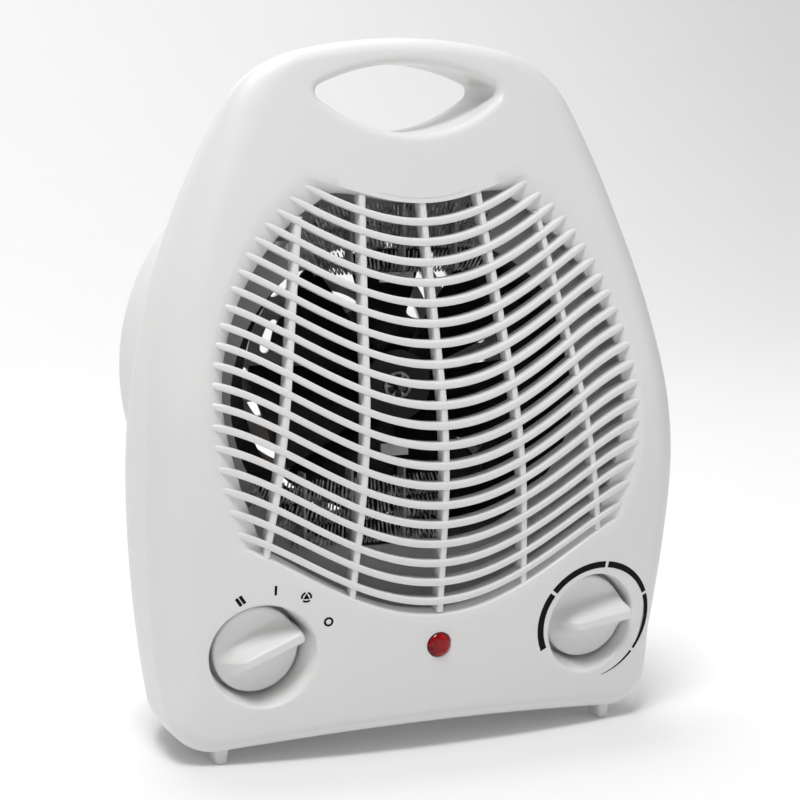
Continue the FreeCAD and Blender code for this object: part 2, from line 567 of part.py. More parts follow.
def fan_impeller():
    """Seven-bladed axial fan: a cup-shaped hub and twisted blades set in a ring about it."""
    z, front, deep = d["fan_z"], d["hub_front"], d["hub_back"] - d["hub_front"]
    hub = Part.makeCylinder(d["hub_big"], deep, V(0, front, z), V(0, 1, 0))
    hub = hub.cut(Part.makeCylinder(d["hub_big"] - 2, 30, V(0, front + 2, z), V(0, 1, 0)))
    hub = hub.fuse(Part.makeCylinder(4.5, deep, V(0, front, z), V(0, 1, 0)))
    sections = []
    for r, lean, chord in ((d["hub_big"] - 1, 52, 20), (31, 38, 34), (d["fan_big"] - 1.5, 29, 42)):
        c, q = math.cos(math.radians(lean)), math.sin(math.radians(lean))
        ring = []
        for u, v in ((-0.5, -0.5), (0.5, -0.5), (0.5, 0.5), (-0.5, 0.5)):
            a, b = u * chord, v * d["blade_thick"]
            ring.append(V(a * c - b * q, -6 + (a * q + b * c) * 0.9, z + r))
        sections.append(Part.makePolygon(ring + ring[:1]))
    blade = Part.makeLoft(sections, True)
    ring = []
    for i in range(int(d["blades"])):
        piece = blade.copy()
        piece.rotate(V(0, 0, z), V(0, 1, 0), i * 360 / d["blades"])
        ring.append(piece)
    core = Part.makeCylinder(d["hub_big"] - 2, 40, V(0, front + 2, z), V(0, 1, 0))
    ring = [p.cut(core) for p in ring]
    bore = Part.makeCylinder(d["shaft"] + 0.01, 60, V(0, -30, z), V(0, 1, 0))
    swept = Part.makeCylinder(d["fan_big"], 60, V(0, -30, z), V(0, 1, 0))
    return feature("fan_impeller", hub.fuse(ring).cut(bore).common(swept).removeSplitter())


def rotor():
    """Shaft, squirrel-cage rotor and the spring clip that holds the fan on."""
    z, y0 = d["fan_z"], d["shaft_front"]
    shaft = rod("shaft_rod", "dims.shaft", "dims.shaft_back - dims.shaft_front", 0, y0, z)
    keep(shaft, "motor_shaft")
    cage_long = "dims.core_back - dims.core_front - 1"
    cage = rod("cage", "dims.rotor_big", cage_long, 0, d["core_front"] + 0.5, z)
    bore = rod("cage_bore", "dims.shaft + 0.01", "60", 0, 0, z)
    keep(cut("rotor_core", cage, bore), "rotor_core")
    clip = rod("clip_disc", "dims.clip_big", "1", 0, d["hub_front"] - 1.1, z)
    keep(cut("fan_clip", clip, rod("clip_bore", "dims.shaft + 0.01", "20", 0, y0 - 1, z)), "fan_clip")


# ---------------------------------------------------------------- heating element

def coil_rows(label, left, right, top, fins, shift=0):
    """Three rows of zigzag resistance wire, each a flat band between the mica fins. Shift is how
    much further right each row starts than the one above it."""
    rows = []
    for row in range(3):
        y = d["row_front"] + row * d["row_step"]
        z = top - row * d["row_pitch"]
        stops = [left + row * shift] + fins + [right]
        for i, (a, b) in enumerate(zip(stops, stops[1:])):
            gap = d["mica"] / 2 + 0.3
            x0, x1 = a + (gap if i else 0), b - (gap if i < len(fins) else 0)
            rows.append(boxed(f"{label}_{row}{i}", x0, x1, y, y + d["row_thick"], z - d["row_tall"], z))
    return group(label, rows)


def mica_fins(label, places, z0, z1):
    """Upright mica boards, edge on to the air, that the rows of wire are hooked over."""
    half, y0 = d["mica"] / 2, d["row_front"] - 0.6
    return group(label, [boxed(f"{label}_{i}", x - half, x + half, y0, d["duct_y"] - 0.05, z0, z1)
                         for i, x in enumerate(places)])


def element_details():
    """Terminal strips, the resettable cut-out and the one-shot fuse."""
    strips = [boxed("strip_upper", -13, 0, -31.6, -30.6, 166, 169.4),
              boxed("strip_lower", -12.5, -2, -31.6, -30.6, 104, 108.5),
              boxed("strip_side", -52, -43, -31.2, -30.4, 176.5, 181.5)]
    group("coil_terminals", strips)
    body = rod("cutout_can", "8", "5", -46, d["duct_y"] + d["duct_thick"] + 0.05, 186)
    keep(body, "thermal_cutout")
    fuse_place = V(40, d["duct_y"] + d["duct_thick"] + 2.1, 190)
    along_x = FreeCAD.Rotation(V(0, 1, 0), 90)
    fuse = solid_of("Cylinder", "fuse_can", {"Radius": "2", "Height": "12"}, fuse_place, along_x)
    keep(fuse, "thermal_fuse")


# ---------------------------------------------------------------- controls

def knob(label, side, pointer):
    """A round knob with a raised finger grip; pointer is the angle of the grip at rest."""
    place = tipped(side * d["knob_x"], d["knob_z"], d["knob_y"])
    r, thick, tall, wide = d["knob_big"], d["knob_thick"], d["grip_tall"], d["grip_wide"]
    disc = Part.makeCylinder(r, thick, V(0, 0, -thick))
    disc = disc.makeFillet(1.0, [disc.Edges[0]] if disc.Edges[0].BoundBox.ZMin > -0.1 else [disc.Edges[2]])
    grip = Part.makeBox(2 * r - 1.2, wide, tall + 1, V(-r + 0.6, -wide / 2, -1))
    grip = grip.common(Part.makeCylinder(r - 0.6, 30, V(0, 0, -5)))
    grip = grip.makeFillet(1.6, [e for e in grip.Edges if e.BoundBox.ZMin > tall - 0.1])
    shape = disc.fuse(grip)
    socket = Part.makeCylinder(d["spindle"] + 0.01, 20, V(0, 0, -20 - 1.5))
    shape = shape.cut(socket)
    shape.rotate(V(0, 0, 0), V(0, 0, 1), pointer)
    shape.Placement = place.multiply(shape.Placement)
    return feature(label, shape)


def spindle_and_box(side, spindle, box, wafer):
    """The turning spindle and the fixed switch behind one knob."""
    place = tipped(side * d["knob_x"], d["knob_z"], d["knob_y"])
    half, deep = d["switch_half"], d["switch_deep"]
    top = -d["knob_thick"] - 0.8 - d["wall"] - 0.05
    rod_shape = Part.makeCylinder(d["spindle"], 18, V(0, 0, -1.5 - 18 - 0.01))
    rod_shape.Placement = place
    feature(spindle, rod_shape)
    case = Part.makeBox(2 * half, 1.7 * half, deep, V(-half, -0.85 * half, top - deep))
    case = case.makeFillet(2, [e for e in case.Edges if abs(e.BoundBox.ZMax - e.BoundBox.ZMin) > deep - 1])
    case = case.cut(Part.makeCylinder(d["spindle"] + 0.05, 40, V(0, 0, -30)))
    case.Placement = place
    feature(box, case)
    tabs = []
    for x in wafer:
        tab = Part.makeBox(4.8, 0.8, 7, V(x - 2.4, -0.4 - 7, top - deep - 7.05))
        tab.Placement = place
        tabs.append(tab)
    feature(box + "_tabs", Part.makeCompound(tabs))


def lamp():
    """Domed red lens pressed into the face, and the neon lamp behind it."""
    place = tipped(0, d["lamp_z"], d["lamp_y"])
    r = d["lamp_big"]
    lens = Part.makeCylinder(r, 7, V(0, 0, -7)).fuse(Part.makeCylinder(r + 0.9, 1, V(0, 0, -4.4)))
    dome = Part.makeSphere(7.5, V(0, 0, -7.5 + 1.3)).common(Part.makeCylinder(r, 5, V(0, 0, 0)))
    lens = lens.fuse(dome).removeSplitter().cut(Part.makeCylinder(r - 1.2, 6, V(0, 0, -7.5)))
    lens.Placement = place
    feature("lamp_lens", lens)
    neon = Part.makeCylinder(2.6, 14, V(0, 0, -16))
    neon.Placement = place
    feature("neon_lamp", neon)


# ---------------------------------------------------------------- supply side and fasteners

def terminal_block():
    """Nylon block with three wire cages, standing on the casing floor behind the switches."""
    base = boxed("block_form", -20, 12, -14, 0, 14, 27)
    cages = [boxed(f"cage_{i}", -16 + 10 * i, -11 + 10 * i, -20, 6, 18, 23) for i in range(3)]
    keep(cut("terminal_block", base, fuse("cage_spaces", *cages)), "terminal_block")


def cord_outlet():
    """Rubber bush in the rear wall for the supply cord, and the clamp just inside it."""
    x, z = d["gland_x"], d["gland_z"]
    neck = rod("gland_neck", "dims.gland_big", "12", x, 18, z)
    outside = rod("gland_lip", "dims.gland_big + 2", "3", x, 27, z)
    inside = rod("gland_ring", "dims.gland_big + 1.4", "2.6", x, 18, z)
    bore = rod("gland_bore", "dims.cord_bore", "40", x, 0, z)
    keep(cut("cord_gland", fuse("gland_form", neck, outside, inside), bore), "cord_gland")
    saddle = boxed("saddle", x - 13.5, x + 13.5, 2, d["clamp_back"], z - 5, z + 7)
    holes = [rod("saddle_bore", "dims.cord_bore + 0.1", "40", x, -10, z)]
    for side in (-1, 1):
        holes.append(rod(f"peg_hole_{side}", "dims.peg + 0.1", "40", x + side * d["peg_x"], -10, z))
    keep(cut("cord_clamp", saddle, fuse("clamp_holes", *holes)), "cord_clamp")


def screw_set(label, places, radius, head, length):
    """Identical pan-head screws in one node, heads to the back. Each place is under the head."""
    screws = []
    for x, y, z in places:
        shank = Part.makeCylinder(radius, length, V(x, y, z), V(0, -1, 0))
        cap = Part.makeCylinder(head, 1.8, V(x, y, z), V(0, 1, 0))
        slot = Part.makeBox(2 * head, 1, 0.7, V(x - head, y + 1.2, z - 0.35))
        screws.append(shank.fuse(cap).removeSplitter().cut(slot))
    return feature(label, Part.makeCompound(screws))


front_casing()
rear_casing()
air_duct()
motor_bracket()
stator_core()
winding()
bearing_bridge("front_bearing_bridge", d["core_front"] - 0.02, -1)
bearing_bridge("rear_bearing_bridge", d["core_back"] + 0.02, 1)
bush("front_bearing", d["core_front"] - d["strap"] - 4.3)
bush("rear_bearing", d["core_back"] + d["strap"] + 0.3)
fan_impeller()
rotor()
coil_rows("heating_coil_upper", d["coil_left"], d["coil_right"], d["coil_top"], [-24, -4, 16])
coil_rows("heating_coil_lower", d["coil_low_left"], d["coil_low_right"], d["coil_low_top"], [-42, -24, -4],
          d["coil_low_shift"])
mica_fins("mica_fins_upper", [-24, -4, 16], 169.8, 193.5)
mica_fins("mica_fins_lower", [-42, -24, -4], 74, 100)
element_details()
knob("function_knob", -1, 22.8)
knob("thermostat_knob", 1, 8)
spindle_and_box(-1, "switch_spindle", "function_switch", (-8, 0, 8))
spindle_and_box(1, "thermostat_spindle", "thermostat", (-6, 6))
lamp()
terminal_block()
cord_outlet()
screw_set("casing_screws", [(x, d["screw_seat_y"] + 0.02, z) for x, z in CASING_SCREWS],
          d["screw"] - 0.02, d["screw_head"], 16)
screw_set("duct_screws", [(x, d["duct_y"] + d["duct_thick"] + 0.02, z) for x, z in DUCT_SCREWS],
          d["screw"] - 0.02, d["screw_head"], 9)
screw_set("bracket_screws", [(x, d["duct_end"] + d["strap"] + 0.04, z) for x, z in BRACKET_SCREWS],
          d["screw"] - 0.02, d["screw_head"], 8)
screw_set("motor_screws", [(s * d["motor_screw_x"], d["core_back"] + d["strap"] + 0.04, d["fan_z"])
                           for s in (-1, 1)], d["motor_screw"] - 0.02, 3, 31)

# ---------------------------------------------------------------- checks and export

doc.recompute()
for thing in doc.Objects:
    if "Invalid" in thing.State or "Error" in thing.State:
        raise RuntimeError(f"{thing.Label} did not rebuild: {thing.State}")
os.makedirs("parts", exist_ok=True)
for thing in SUBPARTS:
    shape = thing.Shape
    if shape.isNull() or not shape.isValid() or not shape.Solids:
        raise RuntimeError(f"{thing.Label} has no valid solid")
    shape.exportStep(os.path.join("parts", thing.Label + ".step"))
    box = shape.BoundBox
    print(f"{thing.Label:22s} {len(shape.Solids):3d} solids {shape.Volume / 1000:8.2f} cm3  "
          f"x {box.XMin:.1f} {box.XMax:.1f}  y {box.YMin:.1f} {box.YMax:.1f}  "
          f"z {box.ZMin:.1f} {box.ZMax:.1f}")
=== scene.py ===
import math

import bmesh
import bpy
import numpy as np
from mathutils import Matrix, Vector
from mathutils.geometry import delaunay_2d_cdt


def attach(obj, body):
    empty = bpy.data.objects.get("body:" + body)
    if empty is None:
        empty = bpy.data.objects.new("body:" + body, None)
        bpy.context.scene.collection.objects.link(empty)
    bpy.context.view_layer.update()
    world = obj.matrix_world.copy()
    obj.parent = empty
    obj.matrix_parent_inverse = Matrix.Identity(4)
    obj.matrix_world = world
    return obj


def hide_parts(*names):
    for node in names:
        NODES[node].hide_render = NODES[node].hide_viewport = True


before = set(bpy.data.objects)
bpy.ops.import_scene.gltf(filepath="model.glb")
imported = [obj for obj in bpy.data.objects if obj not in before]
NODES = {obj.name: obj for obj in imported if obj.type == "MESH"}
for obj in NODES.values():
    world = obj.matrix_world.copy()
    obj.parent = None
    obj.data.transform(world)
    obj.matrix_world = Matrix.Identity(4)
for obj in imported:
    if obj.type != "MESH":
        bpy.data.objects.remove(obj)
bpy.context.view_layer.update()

# ---------------------------------------------------------------- the view and the room
# The heater stands on a pale floor under large soft lamps, seen from its left front corner
# and from a little above the grille. Lengths of the room are in metres.

camera = bpy.data.objects.new("camera", bpy.data.cameras.new("camera"))
camera.data.lens = 99.2
camera.data.sensor_width = 36.0
camera.location = (-0.3086, -0.7464, 0.232)
camera.rotation_euler = (math.radians(90 - 7.93), 0, math.radians(-23.0))
bpy.context.scene.collection.objects.link(camera)
bpy.context.scene.camera = camera


def lamp(name, place, target, size, power):
    """A square soft lamp at a place, turned to face the target."""
    light = bpy.data.lights.new(name, "AREA")
    light.size, light.energy = size, power
    thing = bpy.data.objects.new(name, light)
    thing.location = place
    thing.rotation_euler = (Vector(target) - Vector(place)).to_track_quat("-Z", "Y").to_euler()
    bpy.context.scene.collection.objects.link(thing)
    return thing


MIDDLE = (0.0, 0.0, 0.13)
lamp("key_lamp", (-0.55, -0.85, 2.0), MIDDLE, 0.7, 30.0)
lamp("right_lamp", (1.35, -0.85, 0.65), MIDDLE, 0.9, 1.8)
lamp("top_lamp", (0.05, 0.15, 1.5), MIDDLE, 0.9, 2.4)
lamp("back_lamp", (-0.9, 1.2, 0.9), MIDDLE, 1.0, 0.7)
lamp("backdrop_lamp", (0.0, 0.7, 2.2), (0.0, 2.2, 0.3), 1.4, 26.0)
bpy.context.scene.view_settings.view_transform = "Standard"
world = bpy.data.worlds.new("room")
bpy.context.scene.world = world
world.use_nodes = True
world.node_tree.nodes["Background"].inputs["Color"].default_value = (1.0, 1.0, 1.0, 1.0)
world.node_tree.nodes["Background"].inputs["Strength"].default_value = 0.17


class Socket:
    """One socket of a material. Arithmetic on it adds Math nodes, and node() adds any other."""

    def __init__(self, tree, link):
        self.tree, self.link = tree, link

    def node(self, kind, settings=None, inputs=None, out=0):
        """Adds a node: its settings first, then a value or a link for each socket in inputs."""
        made = self.tree.nodes.new("ShaderNode" + kind)
        for key, value in (settings or {}).items():
            if key == "stops":
                for stop, (place, shade) in zip(made.color_ramp.elements, value):
                    stop.position, stop.color = place, (*shade, 1.0)
            else:
                setattr(made, key, value)
        for key, value in (inputs or {}).items():
            if isinstance(value, Socket):
                self.tree.links.new(value.link, made.inputs[key])
            else:
                made.inputs[key].default_value = value
        return Socket(self.tree, made.outputs[out])

    def maths(self, operation, a, b=0.0):
        return self.node("Math", {"operation": operation}, {0: a, 1: b})

    def __add__(self, other):
        return self.maths("ADD", self, other)

    __radd__ = __add__

    def __mul__(self, other):
        return self.maths("MULTIPLY", self, other)

    __rmul__ = __mul__

    def __sub__(self, other):
        return self.maths("SUBTRACT", self, other)

    def __rsub__(self, other):
        return self.maths("SUBTRACT", other, self)

    def noise(self, scale, detail=3.0, rough=0.5):
        return self.node("TexNoise", None, {"Vector": self, "Scale": scale, "Detail": detail,
                                            "Roughness": rough})

    def stretched(self, scale):
        """The same coordinates with each axis multiplied, so that a pattern runs along one of them."""
        return self.node("VectorMath", {"operation": "MULTIPLY"}, {0: self, 1: scale})

    def between(self, a, b):
        """A colour from a to b as this number goes from 0 to 1."""
        a, b = [c if isinstance(c, Socket) else (*c, 1.0) for c in (a, b)]
        settings = {"data_type": "RGBA", "clamp_factor": True}
        return self.node("Mix", settings, {0: self, 6: a, 7: b}, out=2)


def material(name, recipe, **fixed):
    """A material whose recipe returns what varies: colour, roughness and a height for the bump.
    Everything in fixed is the same all over the piece and is set on the shader's own sockets."""
    made = bpy.data.materials.new(name)
    made.use_nodes = True
    tree = made.node_tree
    shader = tree.nodes["Principled BSDF"]
    for key, value in fixed.items():
        shader.inputs[key.replace("_", " ")].default_value = value
    coords = Socket(tree, tree.nodes.new("ShaderNodeTexCoord").outputs["Object"])
    colour, rough, height, depth = recipe(coords)
    bump = coords.node("Bump", None, {"Strength": 1.0, "Distance": depth, "Height": height})
    tree.links.new(colour.link, shader.inputs["Base Color"])
    tree.links.new(rough.link, shader.inputs["Roughness"])
    tree.links.new(bump.link, shader.inputs["Normal"])
    made.diffuse_color = (0.8, 0.8, 0.8, 1.0)
    return made


def shaded(colour, factor):
    return tuple(min(1.0, c * factor) for c in colour)


def moulded(name, colour, rough=0.35, spread=0.03, grain=0.00002, **fixed):
    """Moulded plastic: faint cloudiness in the colour, uneven gloss and a fine spark-eroded grain."""

    def recipe(p):
        cloud = p.noise(14.0, 2.0)
        speck = p.noise(2600.0, 2.0)
        tone = cloud * 0.7 + speck * 0.3
        shade = tone.between(shaded(colour, 1 - spread), shaded(colour, 1 + spread))
        return shade, cloud * 0.12 + speck * 0.05 + (rough - 0.08), speck, grain

    return material(name, recipe, **fixed)


def metal(name, colour, rough=0.35, along=(1.0, 1.0, 1.0), spread=0.12, scale=900.0):
    """Drawn, pressed or plated metal: fine lines along one axis, and duller blotches."""

    def recipe(p):
        line = p.stretched(along).noise(scale, 3.0)
        blotch = p.noise(60.0, 3.0)
        tone = line * 0.6 + blotch * 0.4
        shade = tone.between(shaded(colour, 1 - spread), shaded(colour, 1 + spread))
        return shade, blotch * 0.25 + line * 0.1 + (rough - 0.17), line, 0.00003

    return material(name, recipe, Metallic=1.0)


SWEEP_BEND, SWEEP_WALL, SWEEP_HALF = 1.2, 2.2, 5.0
floor_mesh = bpy.data.meshes.new("floor")
sweep_line = [(-3.0, 0.0)] + [(SWEEP_WALL - SWEEP_BEND * (1 - math.sin(t)), SWEEP_BEND * (1 - math.cos(t)))
                              for t in np.linspace(0, math.pi / 2, 25)] + [(SWEEP_WALL, 4.5)]
sweep_points = [(side * SWEEP_HALF, y, z) for y, z in sweep_line for side in (-1, 1)]
floor_mesh.from_pydata(sweep_points, [], [(2 * i, 2 * i + 1, 2 * i + 3, 2 * i + 2) for i in range(len(sweep_line) - 1)])
floor_mesh.polygons.foreach_set("use_smooth", np.ones(len(floor_mesh.polygons), bool))
floor = bpy.data.objects.new("floor", floor_mesh)
bpy.context.scene.collection.objects.link(floor)
floor_mesh.materials.append(moulded("pale_floor", (0.84, 0.84, 0.84), 0.8, 0.01,
                                      Emission_Color=(1.0, 1.0, 1.0, 1.0), Emission_Strength=0.06))

# ---------------------------------------------------------------- rear casing
# The back half of the shell, injection moulded in white polystyrene: a tray that rounds over
# behind the seam, and the round housing that carries the air inlet slots. Lengths are in mm.

WHITE = (0.80, 0.795, 0.79)
casing_white = moulded("casing_white", WHITE, 0.36, 0.012, 0.000012, Specular_IOR_Level=0.45)

HEIGHT, TOP_ARC, SHOULDER = 251.2, 180.0, 40.0
SIDE_X, SIDE_Z, SIDE_UPPER, SIDE_LOWER = 101.0, 98.0, 257.3, 455.0
FOOT_CORNER, SOLE_Z, SOLE_ARC = 16.0, 9.5, 611.0
SEAM_Y, REAR_INSET, WALL = -20.0, 0.8, 2.2
ARC_STEPS = (14, 24, 36, 26, 14, 28)


def arc(centre, radius, a, b, count):
    """Points on a circle from the direction of a to the direction of b, without the last one."""
    start = math.atan2(a[1] - centre[1], a[0] - centre[0])
    end = math.atan2(b[1] - centre[1], b[0] - centre[0])
    turn = (end - start + math.pi) % (2 * math.pi) - math.pi
    angle = start + turn * np.arange(count) / count
    return np.stack([centre[0] + radius * np.cos(angle), centre[1] + radius * np.sin(angle)], 1)


def crossing(c1, r1, c2, r2, side):
    """Where two circles meet, to the left (+1) or the right (-1) of the line between centres."""
    gap = np.subtract(c2, c1)
    span = np.hypot(*gap)
    along = (span ** 2 + r1 ** 2 - r2 ** 2) / (2 * span)
    off = side * math.sqrt(r1 ** 2 - along ** 2)
    return (c1[0] + (along * gap[0] - off * gap[1]) / span, c1[1] + (along * gap[1] + off * gap[0]) / span)


def toward(centre, point, radius):
    """The point at that distance from the centre in the direction of another point."""
    gap = np.subtract(point, centre)
    return tuple(np.add(centre, gap * radius / np.hypot(*gap)))


def outline(inset=0.0, sole_inset=None):
    """The casing seen from the front, clockwise from the crown: tangent arcs for the crown, the
    shoulder, the bowed side above and below its widest point, the corner and the hollow sole."""
    sole_inset = inset if sole_inset is None else sole_inset
    top_c, up_c, low_c = (0.0, HEIGHT - TOP_ARC), (SIDE_X - SIDE_UPPER, SIDE_Z), (SIDE_X - SIDE_LOWER, SIDE_Z)
    sole_c = (0.0, SOLE_Z - SOLE_ARC)
    r_top, r_up, r_low, r_sole = TOP_ARC - inset, SIDE_UPPER - inset, SIDE_LOWER - inset, SOLE_ARC + sole_inset
    r_shoulder, r_foot = max(SHOULDER - inset, 15.0), max(FOOT_CORNER - inset, 7.0)
    shoulder = crossing(top_c, r_top - r_shoulder, up_c, r_up - r_shoulder, -1)
    foot = crossing(low_c, r_low - r_foot, sole_c, r_sole + r_foot, 1)
    knots = [(0.0, HEIGHT - inset), toward(top_c, shoulder, r_top), toward(up_c, shoulder, r_up),
             (SIDE_X - inset, SIDE_Z), toward(low_c, foot, r_low), toward(sole_c, foot, r_sole),
             (0.0, SOLE_Z + sole_inset)]
    circles = [(top_c, r_top), (shoulder, r_shoulder), (up_c, r_up), (low_c, r_low), (foot, r_foot), (sole_c, r_sole)]
    half = np.concatenate([arc(c, r, a, b, n) for (c, r), a, b, n in zip(circles, knots, knots[1:], ARC_STEPS)])
    left = np.concatenate([np.array([knots[-1]]), half[:0:-1] * (-1, 1)])
    return np.concatenate([half, left])


def grid(rows, closed=True):
    """Quads of a grid of points given as rows by columns by 3; closed joins the last column to the first."""
    rows = np.asarray(rows, float)
    count, wide = rows.shape[:2]
    number = np.arange(count * wide).reshape(count, wide)
    across = np.roll(number, -1, 1) if closed else number[:, 1:]
    start = number if closed else number[:, :-1]
    quads = np.stack([start[:-1], across[:-1], across[1:], start[1:]], -1).reshape(-1, 4)
    return rows.reshape(-1, 3), [tuple(q) for q in quads.tolist()]


def lids(rows):
    """Two faces that close the first and the last row of a grid."""
    wide = np.asarray(rows).shape[1]
    count = np.asarray(rows).shape[0]
    first, last = list(range(wide)), list(range((count - 1) * wide, count * wide))
    return [tuple(first[::-1]), tuple(last)]


def tube_of(rows):
    """A closed form through rows of points, with a face over each end."""
    points, faces = grid(rows)
    return points, faces + lids(rows)


def inside(points, loop):
    """Which points lie inside a closed loop, by counting the sides that each one sees to its right."""
    x, z = points[:, :1], points[:, 1:]
    ax, az = loop[:, 0], loop[:, 1]
    bx, bz = np.roll(ax, -1), np.roll(az, -1)
    spans = (az > z) != (bz > z)
    with np.errstate(divide="ignore", invalid="ignore"):
        cross = (bx - ax) * (z - az) / (bz - az) + ax
    return (spans & (x < cross)).sum(1) % 2 == 1


def sheet_between(outer, holes, depth, pitch):
    """A sheet that fills the outer loop but for the holes, over a triangular lattice of points;
    depth gives y for arrays of x and z."""
    low, high = outer.min(0), outer.max(0)
    xs, zs = np.meshgrid(np.arange(low[0], high[0], pitch), np.arange(low[1], high[1], pitch * 0.866))
    xs[1::2] += pitch / 2
    lattice = np.stack([xs.ravel(), zs.ravel()], 1)
    loops = [outer] + holes
    ring = np.concatenate(loops)
    keep = inside(lattice, outer)
    for hole in holes:
        keep &= ~inside(lattice, hole)
    lattice = lattice[keep]
    near = np.min(np.hypot(lattice[:, None, 0] - ring[None, :, 0], lattice[:, None, 1] - ring[None, :, 1]), 1)
    lattice = lattice[near > pitch * 0.55]
    edges, start = [], 0
    for loop in loops:
        edges += [(start + i, start + (i + 1) % len(loop)) for i in range(len(loop))]
        start += len(loop)
    flat = [Vector(p) for p in np.concatenate([ring, lattice]).tolist()]
    made = delaunay_2d_cdt(flat, edges, [], 1, 1e-5)
    points = np.array([tuple(p) for p in made[0]])
    faces = np.array([f[:3] for f in made[2]])
    middle = points[faces].mean(1)
    good = inside(middle, outer)
    for hole in holes:
        good &= ~inside(middle, hole)
    solid = np.stack([points[:, 0], depth(points[:, 0], points[:, 1]), points[:, 1]], 1)
    return solid, [tuple(f) for f in faces[good].tolist()]


def piece(name, forms, finish, body="housing", nodes=(), front=None, wall=0.0, sharp=38.0):
    """Makes one object from forms in millimetres. Front is a direction that an open sheet's faces
    must look along, and wall is the thickness it is then given on the other side."""
    mesh = bpy.data.meshes.new(name)
    points, faces, start = [], [], 0
    for form_points, form_faces in forms:
        points.append(np.asarray(form_points, float) * 0.001)
        faces += [tuple(i + start for i in f) for f in form_faces]
        start += len(form_points)
    mesh.from_pydata(np.concatenate(points).tolist(), [], faces)
    work = bmesh.new()
    work.from_mesh(mesh)
    bmesh.ops.remove_doubles(work, verts=work.verts, dist=1e-6)
    bmesh.ops.dissolve_degenerate(work, edges=work.edges, dist=1e-7)
    bmesh.ops.recalc_face_normals(work, faces=work.faces)
    if front is not None:
        look = sum((f.normal * f.calc_area() for f in work.faces), Vector())
        if look.dot(Vector(front)) < 0:
            bmesh.ops.reverse_faces(work, faces=work.faces)
    work.to_mesh(mesh)
    work.free()
    mesh.polygons.foreach_set("use_smooth", np.ones(len(mesh.polygons), bool))
    mesh.materials.append(finish)
    thing = bpy.data.objects.new(name, mesh)
    bpy.context.scene.collection.objects.link(thing)
    if wall:
        thicken = thing.modifiers.new("wall", "SOLIDIFY")
        thicken.thickness, thicken.offset = wall * 0.001, -1.0
        settle(thing)
    thing.data.set_sharp_from_angle(angle=math.radians(sharp))
    if nodes:
        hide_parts(*nodes)
    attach(thing, body)
    return thing


def settle(thing):
    """Replaces a piece's mesh by what its modifiers make of it."""
    bpy.context.view_layer.update()
    made = bpy.data.meshes.new_from_object(thing.evaluated_get(bpy.context.evaluated_depsgraph_get()))
    thing.modifiers.clear()
    thing.data = made


def carve(thing, forms, sharp=38.0):
    """Cuts closed forms out of a piece."""
    points, faces, start = [], [], 0
    for form_points, form_faces in forms:
        points.append(np.asarray(form_points, float) * 0.001)
        faces += [tuple(i + start for i in f) for f in form_faces]
        start += len(form_points)
    mesh = bpy.data.meshes.new("cutter")
    mesh.from_pydata(np.concatenate(points).tolist(), [], faces)
    work = bmesh.new()
    work.from_mesh(mesh)
    bmesh.ops.recalc_face_normals(work, faces=work.faces)
    work.to_mesh(mesh)
    work.free()
    cutter = bpy.data.objects.new("cutter", mesh)
    bpy.context.scene.collection.objects.link(cutter)
    cut = thing.modifiers.new("cut", "BOOLEAN")
    cut.object, cut.operation, cut.solver = cutter, "DIFFERENCE", "EXACT"
    settle(thing)
    bpy.data.objects.remove(cutter)
    thing.data.polygons.foreach_set("use_smooth", np.ones(len(thing.data.polygons), bool))
    thing.data.set_sharp_from_angle(angle=math.radians(sharp))


def at_y(loop, y):
    """A loop of x and z put at y, which is a number or one value for each point."""
    return np.stack([loop[:, 0], np.broadcast_to(y, len(loop)), loop[:, 1]], 1)


def ring_xz(radius, x=0.0, z=0.0, count=48, turn=0.0):
    angle = turn + np.arange(count) / count * 2 * math.pi
    return np.stack([x + radius * np.cos(angle), z + radius * np.sin(angle)], 1)


def bar_xz(radius, x, z, y0, y1, count=32):
    """A round bar along y, as a closed form."""
    loop = ring_xz(radius, x, z, count)
    return tube_of([at_y(loop, y0), at_y(loop, y1)])


STRAIGHT, TRAY_DEEP, BACK_ROUND, BACK_TIP, TRAY_TURN = 6.0, 34.0, 36.0, 7.0, 72.0
DRUM_R, DRUM_Z, DRUM_BACK, DRUM_ROUND = 84.5, 129.0, 62.0, 12.0


def tray_section(turn):
    """The tray's outline where its wall has turned by that angle towards the back."""
    sole = REAR_INSET + 4 * (1 - math.cos(turn))
    loop = outline(REAR_INSET + BACK_ROUND * (1 - math.cos(turn)), sole)
    tip = math.radians(BACK_TIP * math.sin(turn))
    y = SEAM_Y + STRAIGHT + TRAY_DEEP * math.sin(turn)
    flat = at_y(loop, y)
    flat[:, 1] -= (loop[:, 1] - 100) * math.sin(tip)
    flat[:, 2] = 100 + (loop[:, 1] - 100) * math.cos(tip)
    return flat


TURNS = np.linspace(0, math.radians(TRAY_TURN), 22)
seam = [(1.9, 0.0), (1.9, 1.1), (REAR_INSET, 1.3)]
rows = [at_y(outline(inset), SEAM_Y + back) for inset, back in seam] + [tray_section(t) for t in TURNS]
tip = math.radians(BACK_TIP * math.sin(TURNS[-1]))
last_y = SEAM_Y + STRAIGHT + TRAY_DEEP * math.sin(TURNS[-1])
back_sheet = sheet_between(rows[-1][:, [0, 2]], [], lambda x, z: last_y - (z - 100) * math.tan(tip), 7.0)

HOLE_HALF, HOLE_TOP, HOLE_LOW, HOLE_CORNER_Z, HOLE_ROUND = 37.0, 242.2, 218.0, 233.0, 3.0


